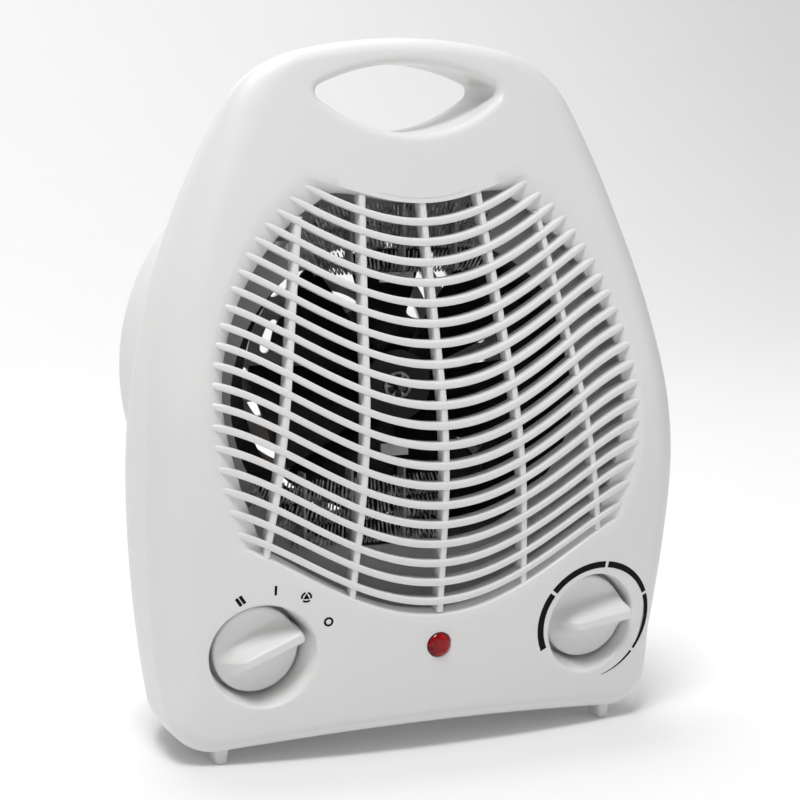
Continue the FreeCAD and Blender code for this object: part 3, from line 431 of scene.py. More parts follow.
def hand_hole(grow=0.0):
    """The smile-shaped hole, clockwise from its top: two arcs through the corners, rounded where they meet."""
    up, down = HOLE_TOP - HOLE_CORNER_Z, HOLE_CORNER_Z - HOLE_LOW
    r_up, r_down = (HOLE_HALF ** 2 + up ** 2) / (2 * up), (HOLE_HALF ** 2 + down ** 2) / (2 * down)
    c_up, c_down = (0.0, HOLE_TOP - r_up), (0.0, HOLE_LOW + r_down)
    corner = crossing(c_up, r_up - HOLE_ROUND, c_down, r_down - HOLE_ROUND, -1)
    r = HOLE_ROUND + grow
    a, b = toward(c_up, corner, r_up + grow), toward(c_down, corner, r_down + grow)
    half = np.concatenate([arc(c_up, r_up + grow, (0, HOLE_TOP), a, 18), arc(corner, r, a, b, 10),
                           arc(c_down, r_down + grow, b, (0, HOLE_LOW), 22)])
    left = np.concatenate([np.array([(0.0, HOLE_LOW - grow)]), half[:0:-1] * (-1, 1)])
    return np.concatenate([half, left])


tray = piece("rear_tray", [grid(rows), back_sheet], casing_white, nodes=["rear_casing"],
             front=(0, 1, 0), wall=WALL)
CASING_SCREWS = [(-88, 66), (88, 66), (-62, 212), (62, 212)]
GLAND_X, GLAND_Z = -50.0, 43.0
carve(tray, [bar_xz(DRUM_R - 1.2, 0, DRUM_Z, -19, 90, 160)])
carve(tray, [tube_of([at_y(hand_hole(0.3), y) for y in (-40, 60)])])
carve(tray, [bar_xz(5.1, GLAND_X, GLAND_Z, 5, 60)])
carve(tray, [bar_xz(3.1, x, z, -12, 60) for x, z in CASING_SCREWS])

# the drum: wall, rounded back edge and the slotted inlet, cut as seven rings crossed by eight spokes
SLOT_RINGS, SLOT_FIRST, SLOT_PITCH, SLOT_WIDE, SPOKE = 7, 13.0, 9.0, 4.2, 5.0


def slot_loops():
    """The inlet slots: each ring is cut into eight by the spokes, with rounded ends."""
    loops = []
    for number in range(SLOT_RINGS):
        r = SLOT_FIRST + number * SLOT_PITCH + SLOT_WIDE / 2
        half, end_r = math.pi / 8 - (SPOKE / 2 + SLOT_WIDE / 2) / r, SLOT_WIDE / 2
        count = 4 + 3 * number
        for spoke in range(8):
            mid = math.pi / 8 + spoke * math.pi / 4
            sweep = np.linspace(mid - half, mid + half, count)
            cap = np.linspace(0, math.pi, 7)[1:-1]
            outer = np.stack([np.cos(sweep), np.sin(sweep)], 1) * (r + end_r)
            inner = np.stack([np.cos(sweep), np.sin(sweep)], 1)[::-1] * (r - end_r)
            ends = []
            for side, angle in ((1, mid + half), (-1, mid - half)):
                out = np.array([math.cos(angle), math.sin(angle)])
                along = np.array([-math.sin(angle), math.cos(angle)]) * side
                cap_points = [out * r + end_r * (out * math.cos(t) * side + along * math.sin(t)) for t in cap]
                ends.append(np.array(cap_points))
            loops.append(np.concatenate([outer, ends[0], inner, ends[1]]) + (0, DRUM_Z))
    return loops


round_over = [(DRUM_R - DRUM_ROUND * (1 - math.cos(t)), DRUM_BACK - DRUM_ROUND * (1 - math.sin(t)))
              for t in np.linspace(0, math.pi / 2, 12)]
drum_rows = [at_y(ring_xz(r, 0, DRUM_Z, 180), y) for r, y in [(DRUM_R, -4.0)] + round_over]
back_face = sheet_between(ring_xz(DRUM_R - DRUM_ROUND, 0, DRUM_Z, 180), slot_loops(),
                          lambda x, z: np.full_like(x, DRUM_BACK), 5.0)
piece("fan_drum", [grid(drum_rows), back_face], casing_white, nodes=["rear_casing"],
      front=(0, 1, 0), wall=WALL)

# the tunnel through the handle and the two rear feet
tunnel_rows = [at_y(hand_hole(2.0), SEAM_Y + 0.1)] + [at_y(hand_hole(0.0), y) for y in (SEAM_Y + 0.1, -6.0, 0.5)]
tunnel_back = [at_y(hand_hole(2.4 * (1 - math.cos(t))), 0.5 + 2.4 * math.sin(t)) for t in np.linspace(0, 1.5, 7)]
slope = math.tan(tip)
for row in tunnel_back + [tunnel_rows[-1]]:
    row[:, 1] += last_y - (row[:, 2] - 100) * slope - 2.6
tunnel_rows += tunnel_back + [at_y(hand_hole(2.3), -8.0)]
piece("handle_tunnel_rear", [grid(tunnel_rows + [tunnel_rows[0]])], casing_white, nodes=["rear_casing"])


def foot(x, y, top, wide=6.0, deep=11.0):
    """A small moulded foot that narrows to its sole, with rounded corners, as a closed form."""
    rows = []
    for z, shrink in ((0.0, 1.3), (0.5, 0.8), (top, 0.0)):
        corner = np.linspace(0, 2 * math.pi, 24, endpoint=False) + math.pi / 24
        power = 0.45
        u = np.sign(np.cos(corner)) * np.abs(np.cos(corner)) ** power * (wide / 2 - shrink)
        v = np.sign(np.sin(corner)) * np.abs(np.sin(corner)) ** power * (deep / 2 - shrink * 1.2)
        rows.append(np.stack([x + u, y + v, np.full(24, z)], 1))
    return tube_of(rows)


piece("rear_feet", [foot(s * 52.0, 19.0, 13.0) for s in (-1, 1)], casing_white, nodes=["rear_casing"])

# ---------------------------------------------------------------- front casing
# The front half of the shell, one moulding with the grille: a bowed face with a soft-edged dish
# round the outlet, a rolled rim, two conical knob wells, the lamp hole and the carrying hole.

KNEE_Y, KNEE_Z, KNEE_ARC, SLOPE_UP, SLOPE_DOWN = -64.2, 110.0, 127.0, 0.279, 0.132
TURN_AXIS = 308.0


def side_profile(z):
    """The face's middle line: two straight slopes joined by an arc tangent to both."""
    up, down = math.atan(SLOPE_UP), math.atan(SLOPE_DOWN)
    reach = KNEE_ARC * math.tan((up + down) / 2)
    high = (KNEE_Y + reach * math.sin(up), KNEE_Z + reach * math.cos(up))
    low_z = KNEE_Z - reach * math.cos(down)
    centre = (high[0] + KNEE_ARC * math.cos(up), high[1] - KNEE_ARC * math.sin(up))
    bend = centre[0] - np.sqrt(np.maximum(KNEE_ARC ** 2 - (z - centre[1]) ** 2, 0))
    over = KNEE_Y + (z - KNEE_Z) * SLOPE_UP
    under = KNEE_Y + (KNEE_Z - z) * SLOPE_DOWN
    return np.where(z > high[1], over, np.where(z < low_z, under, bend))


def face_y(x, z):
    """The bowed face: the middle line turned about an upright axis behind the heater."""
    return TURN_AXIS - np.sqrt((TURN_AXIS - side_profile(z)) ** 2 - x ** 2)


def sweep_rise(x):
    """How far a grille bar stands above its middle at x."""
    return 8.23e-3 * x ** 2 - 5.39e-7 * x ** 4


def smooth_through(knots, count):
    """A smooth line through a few points: one cubic for each gap, with slopes from its neighbours."""
    knots = np.asarray(knots, float)
    span = np.concatenate([[0], np.cumsum(np.hypot(*np.diff(knots, axis=0).T))])
    slope = np.gradient(knots, span, axis=0)
    t = np.linspace(0, span[-1], count)
    gap = np.clip(np.searchsorted(span, t, side="right") - 1, 0, len(span) - 2)
    long = (span[gap + 1] - span[gap])[:, None]
    s = ((t - span[gap])[:, None]) / long
    a, b, ma, mb = knots[gap], knots[gap + 1], slope[gap] * long, slope[gap + 1] * long
    return (a * (1 + 2 * s) * (1 - s) ** 2 + ma * s * (1 - s) ** 2 + b * s ** 2 * (3 - 2 * s)
            + mb * s ** 2 * (s - 1))


INNER_SIDE = [(33, 197.6), (47, 188), (65.5, 166), (76.5, 129), (72, 101), (64, 78.5)]
OUTER_SIDE = [(43, 204), (56, 194), (71.5, 170.5), (83, 128), (81.5, 98), (75, 79.5)]


def outlet(grow):
    """The outlet's edge, clockwise from the middle of the top: sagging lips above and below and bowed
    sides. Grow 0 is the opening itself and 1 the edge where the dish fades into the face."""
    side = [(a[0] + grow * (b[0] - a[0]), a[1] + grow * (b[1] - a[1])) for a, b in zip(INNER_SIDE, OUTER_SIDE)]
    right = smooth_through(side, 66)
    x_top, x_low = np.linspace(0, side[0][0], 16)[:-1], np.linspace(side[-1][0], 0, 30)[1:]
    lip = 193.8 + 0.2 * grow + sweep_rise(x_top)
    lip += (x_top / side[0][0]) ** 4 * (side[0][1] - (193.8 + 0.2 * grow + sweep_rise(side[0][0])))
    low = 52.3 - 2.2 * grow + sweep_rise(x_low)
    low += (x_low / side[-1][0]) ** 4 * (side[-1][1] - (52.3 - 2.2 * grow + sweep_rise(side[-1][0])))
    half = np.concatenate([np.stack([x_top, lip], 1), right, np.stack([x_low, low], 1)])
    return np.concatenate([half, half[-2:0:-1] * (-1, 1)])


RECESS, BAR_DEEP = 4.4, 6.3
TILT = math.radians(7.5)
KNOB_X, KNOB_Y, KNOB_Z = 63.9, -42.4, 41.0
AXIS = np.array([0.0, -math.cos(TILT), -math.sin(TILT)])
ACROSS = np.array([1.0, 0.0, 0.0])
UPWARD = np.array([0.0, -math.sin(TILT), math.cos(TILT)])
WELL_FLOOR_R, WELL_FLOOR_Z, WELL_SLOPE = 16.3, -5.8, 0.192
LAMP_Z, LAMP_Y, LAMP_R = 39.6, -55.4, 4.5


def on_axis(side, radius, height, angle):
    """Points about a knob's axis, at a radius and a height above the knob's face."""
    centre = np.array([side * KNOB_X, KNOB_Y, KNOB_Z])
    radius, height = np.broadcast_to(radius, angle.shape), np.broadcast_to(height, angle.shape)
    return (centre + height[:, None] * AXIS + (radius * np.cos(angle))[:, None] * ACROSS
            + (radius * np.sin(angle))[:, None] * UPWARD)


def well_rows(side):
    """A knob well from the face inwards: a soft lip, a conical wall, a small fillet and a floor."""
    angle = np.arange(96) / 96 * 2 * math.pi

    def radius(height):
        return WELL_FLOOR_R + WELL_SLOPE * (height - WELL_FLOOR_Z)

    def reach_face(extra):
        """Heights at which a cone wider by extra meets the face."""
        height = np.full(96, 7.0)
        for _ in range(12):
            p = on_axis(side, radius(height) + extra, height, angle)
            height = height + (p[:, 1] - face_y(p[:, 0], p[:, 2]))
        return height

    lip = 1.1
    mouth, beyond = reach_face(0.0), reach_face(lip)
    rim = on_axis(side, radius(beyond) + lip, beyond, angle)
    corner = on_axis(side, radius(mouth), mouth, angle)
    wall = on_axis(side, radius(mouth - lip), mouth - lip, angle)
    rows = [rim * (1 - t) ** 2 + corner * 2 * t * (1 - t) + wall * t ** 2 for t in np.linspace(0, 1, 7)]
    low = WELL_FLOOR_Z + 1.2
    for t in np.linspace(0.15, 1, 6):
        height = (mouth - lip) * (1 - t) + low * t
        rows.append(on_axis(side, radius(height), height, angle))
    for t in np.linspace(0.2, math.pi / 2, 5):
        rows.append(on_axis(side, radius(low) - 1.2 * (1 - math.cos(t)), low - 1.2 * math.sin(t), angle))
    for r in (13.0, 8.0, 4.0):
        rows.append(on_axis(side, r, WELL_FLOOR_Z, angle))
    rows.append(on_axis(side, 4.0, WELL_FLOOR_Z - 2.0, angle))
    return rows


rim_line = outline()
ahead, behind = np.roll(rim_line, -1, 0), np.roll(rim_line, 1, 0)
along = (ahead - behind) / np.hypot(*(ahead - behind).T)[:, None]
outward = np.stack([-along[:, 1], along[:, 0]], 1)
outward *= np.sign((outward * (rim_line - (0, 120))).sum(1))[:, None]
rim_round = 6.0 + 6.0 * np.clip((rim_line[:, 1] - 6) / 26, 0, 1) ** 1.5
beside_hole = np.clip((np.abs(rim_line[:, 0]) - 38) / 24, 0, 1)
handle = (rim_line[:, 1] > 200) * (1 - beside_hole ** 2 * (3 - 2 * beside_hole))
rim_round = rim_round * (1 - handle) + 5.0 * handle
inner_rim = rim_line - outward * rim_round[:, None]
rim_rows = []
rim_deep = np.minimum(rim_round, SEAM_Y - 0.4 - face_y(rim_line[:, 0], rim_line[:, 1]))
for turn in np.linspace(0, math.pi / 2, 14):
    loop = rim_line - outward * (rim_round * (1 - math.sin(turn)))[:, None]
    rim_rows.append(at_y(loop, face_y(loop[:, 0], loop[:, 1]) + rim_deep * (1 - math.cos(turn))))
rim_rows.append(at_y(rim_line, SEAM_Y))

HOLE_LIP = 3.2
hole_rows = []
for turn in np.linspace(0, math.pi / 2, 8):
    loop = hand_hole(HOLE_LIP * (1 - math.sin(turn)))
    hole_rows.append(at_y(loop, face_y(loop[:, 0], loop[:, 1]) + HOLE_LIP * (1 - math.cos(turn))))
hole_rows.append(at_y(hand_hole(), SEAM_Y))

dish_rows = []
outer_loop, inner_loop = outlet(1.0), outlet(0.0)
for s in np.linspace(0, 1, 12):
    loop = outer_loop * (1 - s) + inner_loop * s
    dish_rows.append(at_y(loop, face_y(loop[:, 0], loop[:, 1]) + RECESS * s ** 1.5))
dish_rows.append(at_y(inner_loop, face_y(inner_loop[:, 0], inner_loop[:, 1]) + RECESS + 1.8))

wells = [well_rows(side) for side in (-1, 1)]
lamp_loop = ring_xz(LAMP_R + 0.5, 0, LAMP_Z, 40)
lamp_rows = [at_y(ring_xz(LAMP_R + 0.5 * (1 - math.sin(t)), 0, LAMP_Z, 40),
                  face_y(lamp_loop[:, 0], lamp_loop[:, 1]) + 0.5 * (1 - math.cos(t)))
             for t in np.linspace(0, math.pi / 2, 4)]
lamp_rows.append(at_y(ring_xz(LAMP_R, 0, LAMP_Z, 40), face_y(0.0, LAMP_Z) + 3.0))
holes = [outer_loop, hand_hole(HOLE_LIP), lamp_loop] + [rows[0][:, [0, 2]] for rows in wells]
face_sheet = sheet_between(inner_rim, holes, face_y, 3.2)
front_forms = [face_sheet, grid(rim_rows), grid(hole_rows), grid(dish_rows), grid(lamp_rows)]
front_forms += [grid(rows) for rows in wells]
piece("front_shell", front_forms, casing_white, nodes=["front_casing"],
      front=(0, -1, 0), wall=1.8, sharp=50.0)
piece("front_feet", [foot(s * 75.0, -33.0, 9.0) for s in (-1, 1)], casing_white, nodes=["front_casing"])

# ---------------------------------------------------------------- grille bars
# Twenty swept bars with five upright ribs behind their front edges, moulded with the front casing.
# Each bar runs on over the dish and sinks into the face as a tapering ridge.

BARS, BAR_FIRST, BAR_PITCH, BAR_TALL = 20, 187.5, 6.94, 2.7
RIB_WIDE, RIB_BACK = 2.3, 0.6


def bar_section(tall, front, back, share=0.3):
    """A bar's section, as height and depth: square at the back and rounded at the front."""
    r = tall * share
    turn = np.linspace(0, math.pi / 2, 5)
    upper = [(tall / 2 - r + r * math.sin(t), front + r - r * math.cos(t)) for t in turn]
    lower = [(-h, w) for h, w in upper[::-1]]
    return np.array(lower[:-1] + upper + [(tall / 2 - 0.15, back), (-tall / 2 + 0.15, back)])


def grille_bar(number):
    """A bar along its swept line, from one edge of the dish to the other."""
    z0 = BAR_FIRST - number * BAR_PITCH
    xs = np.linspace(0, 90, 361)
    line = np.stack([xs, z0 + sweep_rise(xs)], 1)
    end = xs[inside(line, outer_loop)].max() + 1.0
    start = xs[inside(line, inner_loop)].max()
    rows = []
    for x in np.linspace(-end, end, 91):
        fade = max(0.0, (abs(x) - start) / max(end - start, 1.0))
        section = bar_section(BAR_TALL * (1 - 0.5 * fade ** 1.6), 1.4 * fade ** 1.8, BAR_DEEP, 0.3 + 0.19 * fade)
        z = z0 + sweep_rise(x) + section[:, 0]
        y = face_y(np.full(len(z), x), z) + section[:, 1]
        rows.append(np.stack([np.full(len(z), x), y, z], 1))
    return tube_of(rows)


def grille_rib(points):
    """An upright rib through three points, front edge just behind those of the bars."""
    (x0, z0), (x1, z1), (x2, z2) = points
    rows = []
    for z in np.linspace(z0, z2, 61):
        x = (x0 * (z - z1) * (z - z2) / ((z0 - z1) * (z0 - z2)) + x1 * (z - z0) * (z - z2) / ((z1 - z0) * (z1 - z2))
             + x2 * (z - z0) * (z - z1) / ((z2 - z0) * (z2 - z1)))
        section = bar_section(RIB_WIDE, RIB_BACK, BAR_DEEP)
        across = x + section[:, 0]
        level = np.full(len(across), z)
        rows.append(np.stack([across, face_y(across, level) + section[:, 1], level], 1))
    return tube_of(rows)


ribs = [[(0, 51.5), (0, 120), (0, 195)]]
for s in (-1, 1):
    ribs.append([(s * 33.0, 58), (s * 28.2, 125), (s * 22.0, 198.5)])
    ribs.append([(s * 63.6, 75.5), (s * 55.4, 130), (s * 45.4, 190)])
piece("grille", [grille_bar(i) for i in range(BARS)] + [grille_rib(r) for r in ribs], casing_white,
      nodes=["front_casing"])

# ---------------------------------------------------------------- air duct and fan
# The grey heat-resistant moulding behind the grille, with painted shade in its throat, its stay plate,
# and the black five-bladed fan held on the shaft by a spring clip with teeth.


def dress(names, finish):
    """Gives carried-over pieces a finish."""
    for name in names:
        NODES[name].data.materials.clear()
        NODES[name].data.materials.append(finish)


# the throat colour is painted shade: the duct is coloured black from THROAT_Y back, where shade falls
DUCT_GREY, THROAT_PAINTED_SHADE, THROAT_Y = (0.60, 0.60, 0.605), (0.010, 0.010, 0.011), -0.0262


def grey_duct_with_painted_throat_shade(p):
    """Grey in front of the plate's face, and black painted shade in the throat, both with a mould's fine grain."""
    depth = p.node("SeparateXYZ", None, {"Vector": p}, out=1)
    cloud = p.noise(40.0, 3.0)
    speck = p.noise(2600.0, 2.0)
    # the mask of the painted shade: all of the duct behind THROAT_Y
    inner = p.maths("GREATER_THAN", depth, THROAT_Y)
    tone = cloud * 0.7 + speck * 0.3
    grey = tone.between(shaded(DUCT_GREY, 0.9), shaded(DUCT_GREY, 1.1))
    return inner.between(grey, THROAT_PAINTED_SHADE), cloud * 0.15 + 0.42, speck, 0.00003


dress(["air_duct"], material("duct_grey", grey_duct_with_painted_throat_shade))
fan_black = moulded("fan_black", (0.012, 0.012, 0.013), 0.3, 0.2, 0.00003)
dress(["fan_impeller"], fan_black)
bright_steel = metal("bright_steel", (0.62, 0.62, 0.63), 0.32, (1.0, 0.08, 1.0))
# the shaft's steel colour is darkened as painted shade, to match the shaded middle of the fan
dress(["motor_shaft"], metal("shaft_steel_shade_darkened", (0.16, 0.16, 0.17), 0.4))
FAN_Z, HUB_FRONT, CLIP_R = 127.0, -17.0, 5.3


def clip_form():
    """A dished ring with six narrow teeth that grip the shaft: radius and depth along a rounded
    section, where the inner radius runs from the ring's own to the shaft's at each tooth."""
    angle = np.arange(144) / 144 * 2 * math.pi
    teeth = 4.2 - 2.54 * (0.5 + 0.5 * np.cos(6 * angle)) ** 9
    rows = []
    for share, depth in ((0.0, -0.75), (0.45, -0.95), (0.85, -0.8), (1.0, -0.4), (0.97, -0.15), (0.5, -0.3), (0.0, -0.25)):
        r = teeth + share * (CLIP_R - teeth)
        rows.append(np.stack([r * np.cos(angle), np.full(144, HUB_FRONT + depth), FAN_Z + r * np.sin(angle)], 1))
    return grid(rows + [rows[0]])


piece("spring_clip", [clip_form()], bright_steel, body="fan_rotor", nodes=["fan_clip"])

# ---------------------------------------------------------------- motor and its plates
# A shaded-pole motor: stacked iron plates, a copper winding on a nylon bobbin, pressed bridges
# with bronze bushes, and the plate that carries it all.


def laminated(name, colour, pitch):
    """A stack of thin iron plates: the joints between them run round as fine dark lines."""

    def recipe(p):
        across = p.node("SeparateXYZ", None, {"Vector": p}, out=1)
        joint = p.maths("PINGPONG", across, pitch) * (1 / pitch)
        rust = p.noise(220.0, 4.0)
        tone = joint * 0.6 + rust * 0.5
        shade = tone.between(shaded(colour, 0.35), shaded(colour, 1.2))
        return shade, rust * 0.3 + 0.35, joint, 0.00015

    return material(name, recipe, Metallic=0.9)


def wound(name, colour, pitch):
    """Enamelled wire laid side by side: rounded ridges across the winding."""

    def recipe(p):
        across = p.node("SeparateXYZ", None, {"Vector": p}, out=0)
        ridge = p.maths("PINGPONG", across, pitch) * (1 / pitch)
        cloud = p.noise(120.0, 3.0)
        tone = ridge * 0.6 + cloud * 0.5
        shade = tone.between(shaded(colour, 0.45), shaded(colour, 1.25))
        return shade, cloud * 0.2 + 0.25, ridge, 0.0002

    return material(name, recipe, Metallic=0.8)


nylon = moulded("nylon", (0.66, 0.64, 0.56), 0.45, 0.06)
dress(["stator_core", "rotor_core"], laminated("core_iron", (0.22, 0.21, 0.21), 0.0005))
dress(["motor_winding"], wound("copper_wire", (0.72, 0.30, 0.12), 0.0003))
dress(["bobbin", "cord_clamp", "terminal_block", "switch_spindle", "thermostat_spindle"], nylon)
dress(["function_switch", "thermostat"], moulded("switch_body", (0.55, 0.53, 0.48), 0.5, 0.08))
dress(["front_bearing_bridge", "rear_bearing_bridge", "motor_bracket"],
      metal("steel_plate", (0.50, 0.51, 0.53), 0.42, (0.1, 1.0, 1.0)))
dress(["front_bearing", "rear_bearing", "function_switch_tabs", "thermostat_tabs"],
      metal("bronze", (0.62, 0.43, 0.20), 0.4))
dress(["casing_screws", "duct_screws", "bracket_screws", "motor_screws", "coil_terminals", "thermal_cutout",
       "thermal_fuse"], bright_steel)

# ---------------------------------------------------------------- heating coils
# Bare resistance wire wound as flat zigzag rows and hooked over upright mica boards, in front
# of the duct plate: a bank above the fan opening and a bank below it.

WIRE_R, COIL_PITCH, ROW_PITCH, ROW_TALL = 0.3, 1.55, 8.4, 7.6
ROW_FRONT, ROW_STEP, ROW_THICK = -32.4, 1.5, 1.0


def wire_row(left, right, top, front, lean, seed):
    """A flat coil along x: x runs on evenly, z swings between the row's edges and y from its front
    to its back, and the strokes lean more the further they are from the middle of the row."""
    turns = int((right - left) / COIL_PITCH)
    chance = np.random.default_rng(seed)
    swing = np.linspace(0, turns * 2 * math.pi, turns * 14)
    loop = swing / (2 * math.pi)
    wobble = np.interp(loop, np.arange(turns + 2), chance.normal(0, 0.22, turns + 2))
    x = left + (right - left) * loop / turns
    up = np.cos(swing)
    x = x + wobble + lean(x) * up * ROW_TALL / 2
    z = top - ROW_TALL / 2 + up * ROW_TALL / 2 * (1 + 0.12 * wobble) + wobble * 0.4
    y = front + ROW_THICK / 2 + np.sin(swing) * (ROW_THICK / 2 + 0.35)
    path = np.stack([x, y, z], 1)
    ahead = np.gradient(path, axis=0)
    ahead /= np.linalg.norm(ahead, axis=1)[:, None]
    side = np.cross(ahead, (0.0, 1.0, 0.0))
    side /= np.linalg.norm(side, axis=1)[:, None]
    other = np.cross(ahead, side)
    angle = np.arange(6) / 6 * 2 * math.pi
    rows = (path[:, None] + WIRE_R * (np.cos(angle)[None, :, None] * side[:, None]
                                      + np.sin(angle)[None, :, None] * other[:, None]))
    return tube_of(rows)


def bank(left, right, top, lean, seed, shift=0.0):
    """Three rows, one below and behind another, each starting further right by shift."""
    return [wire_row(left + shift * i, right, top - ROW_PITCH * i, ROW_FRONT + ROW_STEP * i, lean, seed + i)
            for i in range(3)]




def wire_recipe(p):
    """Bare nickel chrome wire, bright where it is clean and dark where it has been hot."""
    scale = p.noise(420.0, 2.0)
    speck = p.noise(2600.0, 2.0)
    tone = scale * 2.6 - 0.85 + speck * 0.1
    return tone.between((0.06, 0.06, 0.06), (0.95, 0.94, 0.93)), scale * 0.2 + 0.2, speck, 0.00002


resistance_wire = material("resistance_wire", wire_recipe, Metallic=0.3)
piece("upper_coils", bank(-39.0, 29.0, 193.4, lambda x: (x + 6) / 60, 11), resistance_wire,
      nodes=["heating_coil_upper"])
piece("lower_coils", bank(-63.0, 13.0, 97.0, lambda x: -(x + 20) / 90, 21, 9.0), resistance_wire,
      nodes=["heating_coil_lower"])


def mica_recipe(p):
    """Pressed mica: flakes of slightly different tone and sheen."""
    flake = p.node("TexVoronoi", {"feature": "F1"}, {"Vector": p, "Scale": 700.0})
    grain = p.noise(400.0, 3.0)
    tone = flake * 0.6 + grain * 0.5
    return tone.between((0.40, 0.39, 0.37), (0.66, 0.65, 0.62)), grain * 0.3 + 0.3, flake, 0.00004


dress(["mica_fins_upper", "mica_fins_lower"], material("mica", mica_recipe))

# ---------------------------------------------------------------- knobs
# Two like knobs, moulded white: a round face with a ridge to grip, which rises from nothing at
# its tail to a beak over the rim that points at the dial.

KNOB_R, KNOB_THICK, GRIP_TALL = 15.5, 5.0, 8.0


def grip_height(along, across):
    """The ridge: its crest rises over the tail and stays level to the beak; its flanks are hollow."""
    rise = np.clip((along + 15.0) / 10.0, 0, 1)
    crest = GRIP_TALL * rise ** 2 * (3 - 2 * rise)
    half = 5.2 + 1.4 * (along + 15) / 30
    off = np.sqrt(np.maximum(np.abs(across) - 1.3, 0) ** 2 + 0.16) - 0.4
    return crest * np.clip(1 - off / half, 0, 1) ** 2.1


NOSE_R, NOSE_AT = 4.4, 12.3


def nose_reach(angle):
    """How far the rim goes out at an angle from the pointer: the disc's edge, or the beak's round
    nose where that is further, blended so that the two meet in a small hollow."""
    off = NOSE_AT * np.sin(angle)
    nose = NOSE_AT * np.cos(angle) + np.sqrt(np.maximum(NOSE_R ** 2 - off ** 2, 0.0))
    nose = np.where((np.abs(off) < NOSE_R) & (np.cos(angle) > 0), nose, 0.0)
    blend = np.maximum(0.5 - np.abs(nose - KNOB_R), 0.0)
    return np.maximum(nose, KNOB_R) + blend ** 2 / 2


def knob_rows(side, pointer):
    """Rings from the middle of the face outwards, down the side and back to the middle."""
    angle = np.arange(240) / 240 * 2 * math.pi
    rings = [(r, 0.0, 1.0) for r in np.concatenate([[0.02], np.linspace(0.6, 14.4, 24)])]
    rings += [(14.9, -0.1, 0.97), (15.25, -0.3, 0.86), (15.45, -0.65, 0.6), (15.5, -1.1, 0.28), (15.5, -1.6, 0.0)]
    rings += [(15.5, -4.6, 0.0), (15.1, -KNOB_THICK, 0.0), (3.2, -KNOB_THICK, 0.0), (3.2, -3.0, 0.0), (0.02, -3.0, 0.0)]
    rows = []
    for r, level, share in rings:
        turned = angle - pointer
        reach = r * (1 + (nose_reach(turned) / KNOB_R - 1) * min(1.0, r / KNOB_R) ** 3 * (level > -2))
        lift = grip_height(r * np.cos(turned), r * np.sin(turned)) * share
        rows.append(on_axis(side, reach, level + lift, angle))
    return rows


for side, pointer, body, node in ((-1, 22.8, "function_knob", "function_knob"),
                                  (1, 8.0, "thermostat_knob", "thermostat_knob")):
    piece(node + "_cap", [tube_of(knob_rows(side, math.radians(pointer)))], casing_white, body=body, nodes=[node],
          sharp=60.0)

# ---------------------------------------------------------------- dial marks
# Black print on the face: off ring, fan sign, one and two strokes round the left knob, and a band
# that thins out clockwise round the right one, cut by four gaps.

PRINT_LIFT = 0.07
print_black = moulded("print_black", (0.003, 0.003, 0.003), 0.7, 0.3, Specular_IOR_Level=0.15)
MARK_Z = KNOB_Z + 7.0 * AXIS[2]


def printed(loops):
    """Closed loops of x and z as thin islands that follow the face and stand just proud of it."""
    forms = []
    for loop in loops:
        front = sheet_between(loop, [], lambda x, z: face_y(x, z) - PRINT_LIFT, 1.0)
        rim = [at_y(loop, face_y(loop[:, 0], loop[:, 1]) + lift) for lift in (-PRINT_LIFT, PRINT_LIFT)]
        forms += [front, grid(rim)]
    return forms


def band(centre, start, end, inner, outer, count=24):
    """A curved band between two angles in degrees; inner and outer are its radii at both ends."""
    angle = np.radians(np.linspace(start, end, count))
    ri, ro = np.linspace(*inner, count), np.linspace(*outer, count)
    far = np.stack([centre[0] + ro * np.cos(angle), centre[1] + ro * np.sin(angle)], 1)
    near = np.stack([centre[0] + ri * np.cos(angle), centre[1] + ri * np.sin(angle)], 1)
    return np.concatenate([far, near[::-1]])


def stroke(centre, turn, shift, long, wide):
    """A straight stroke that points away from the knob, moved sideways by shift."""
    t = math.radians(turn)
    out, across = np.array([math.cos(t), math.sin(t)]), np.array([-math.sin(t), math.cos(t)])
    corners = [(-1, -1), (1, -1), (1, 1), (-1, 1)]
    return np.array([centre + across * shift + out * a * long / 2 + across * b * wide / 2 for a, b in corners])


def round_dial(turn, radius):
    t = math.radians(turn)
    return np.array([-KNOB_X + radius * math.cos(t), MARK_Z + radius * math.sin(t)])


marks = []
off_mark = round_dial(27.0, 25.2)
for a in (0, 180):
    marks.append(band(off_mark, a, a + 180, (0.95, 0.95), (1.7, 1.7)))
sign = round_dial(55.6, 25.3)
marks.append(np.array([sign + 1.3 * np.array([math.cos(t), math.sin(t)]) for t in np.radians([90, 210, 330])]))
for a in (30, 150, 270):
    marks.append(band(sign, a - 46, a + 46, (1.25, 1.25), (1.95, 1.95)))
marks.append(stroke(round_dial(81.4, 24.2), 90, 0.0, 3.4, 0.85))
for shift in (-0.75, 0.75):
    marks.append(stroke(round_dial(111.6, 22.3), 124, shift, 3.2, 1.1))
DIAL_X, DIAL_Z, DIAL_WIDE, DIAL_TALL = KNOB_X + 0.7, 41.0, 25.0, 22.4
GAPS, DIAL_START, DIAL_END, GAP_TURN = (143.2, 81.1, 20.2, -40.0), 203.0, -78.0, 3.2
stops = [DIAL_START] + [g + s * GAP_TURN / 2 for g in GAPS for s in (1, -1)] + [DIAL_END]


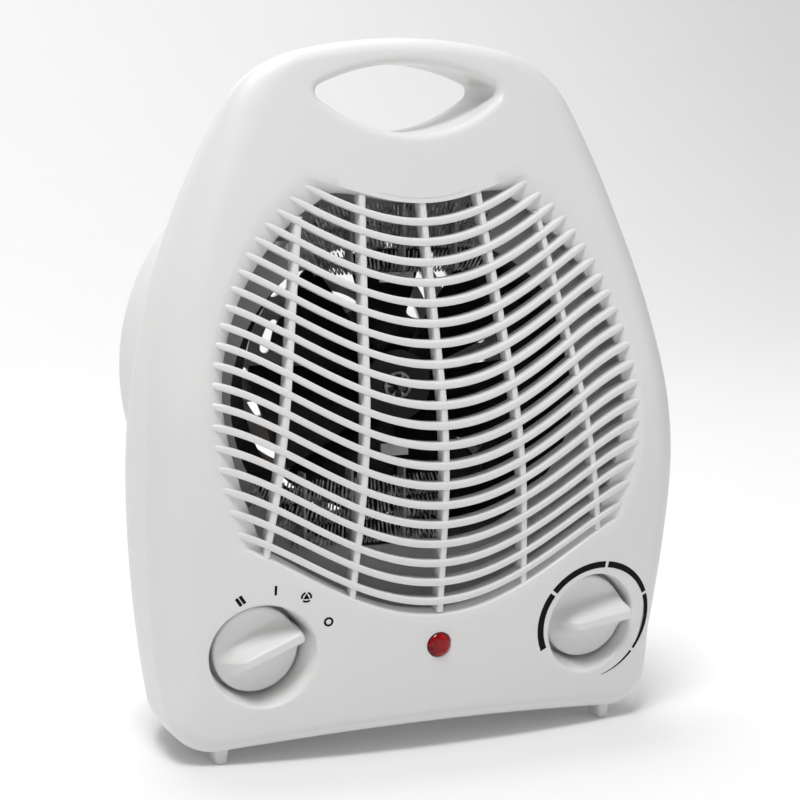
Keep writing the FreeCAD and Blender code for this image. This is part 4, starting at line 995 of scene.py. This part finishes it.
def dial_band(a, b):
    """A part of the long band: an arc of an ellipse that thins out clockwise."""
    turn = np.linspace(a, b, 60)
    share = (DIAL_START - turn) / (DIAL_START - DIAL_END)
    thick = 2.4 * (1 - share ** 3.2) + 0.12
    t = np.radians(turn)
    far = np.stack([DIAL_X + DIAL_WIDE * np.cos(t), DIAL_Z + DIAL_TALL * np.sin(t)], 1)
    near = np.stack([DIAL_X + (DIAL_WIDE - thick) * np.cos(t), DIAL_Z + (DIAL_TALL - thick) * np.sin(t)], 1)
    return np.concatenate([far, near[::-1]])


marks += [dial_band(a, b) for a, b in zip(stops[::2], stops[1::2])]
piece("dial_marks", printed(marks), print_black)

# ---------------------------------------------------------------- lamp
# A clear red lens pressed into the face, domed in front and cut with facets behind, over a small
# neon lamp.


def lens_form():
    """Radius and height along the lens's section: a domed front, a straight side and a collar."""
    angle = np.arange(48) / 48 * 2 * math.pi
    r = LAMP_R - 0.2
    section = [(r * math.sin(t), 2.0 * math.cos(t)) for t in np.linspace(0.01, math.pi / 2, 10)]
    section += [(r, -3.4), (r + 0.9, -3.5), (r + 0.9, -4.4), (r, -4.5), (r, -6.6), (0.02, -6.8)]
    centre = np.array([0.0, float(face_y(0.0, LAMP_Z)) + 0.4, LAMP_Z])
    rows = []
    for radius, height in section:
        rows.append(centre + height * AXIS + radius * (np.cos(angle)[:, None] * ACROSS + np.sin(angle)[:, None] * UPWARD))
    return tube_of(rows)


def painted_glint_recipe(p):
    """Deep red, with painted glints: brighter where a facet of the inside would catch the light."""
    facet = p.node("TexVoronoi", {"feature": "F1"}, {"Vector": p, "Scale": 420.0})
    cloud = p.noise(500.0, 2.0)
    # the painted glints: the facet pattern lightens the red
    tone = facet * 1.1 + cloud * 0.3 - 0.15
    return tone.between((0.03, 0.0, 0.001), (0.42, 0.004, 0.006)), cloud * 0.1 + 0.05, facet, 0.0002


piece("lens", [lens_form()], material("lens_red", painted_glint_recipe, Specular_IOR_Level=0.3),
      nodes=["lamp_lens"])


def glass_recipe(p):
    cloud = p.noise(300.0, 2.0)
    return cloud.between((0.85, 0.5, 0.35), (0.95, 0.7, 0.55)), cloud * 0.1 + 0.05, cloud, 0.00002


dress(["neon_lamp"], material("neon_glass", glass_recipe, Transmission_Weight=0.5))

# ---------------------------------------------------------------- cord bush
# A soft moulded bush that lines the hole for the supply cord in the back of the casing.

dress(["cord_gland"], moulded("cord_rubber", (0.62, 0.61, 0.60), 0.6, 0.05, 0.00004))
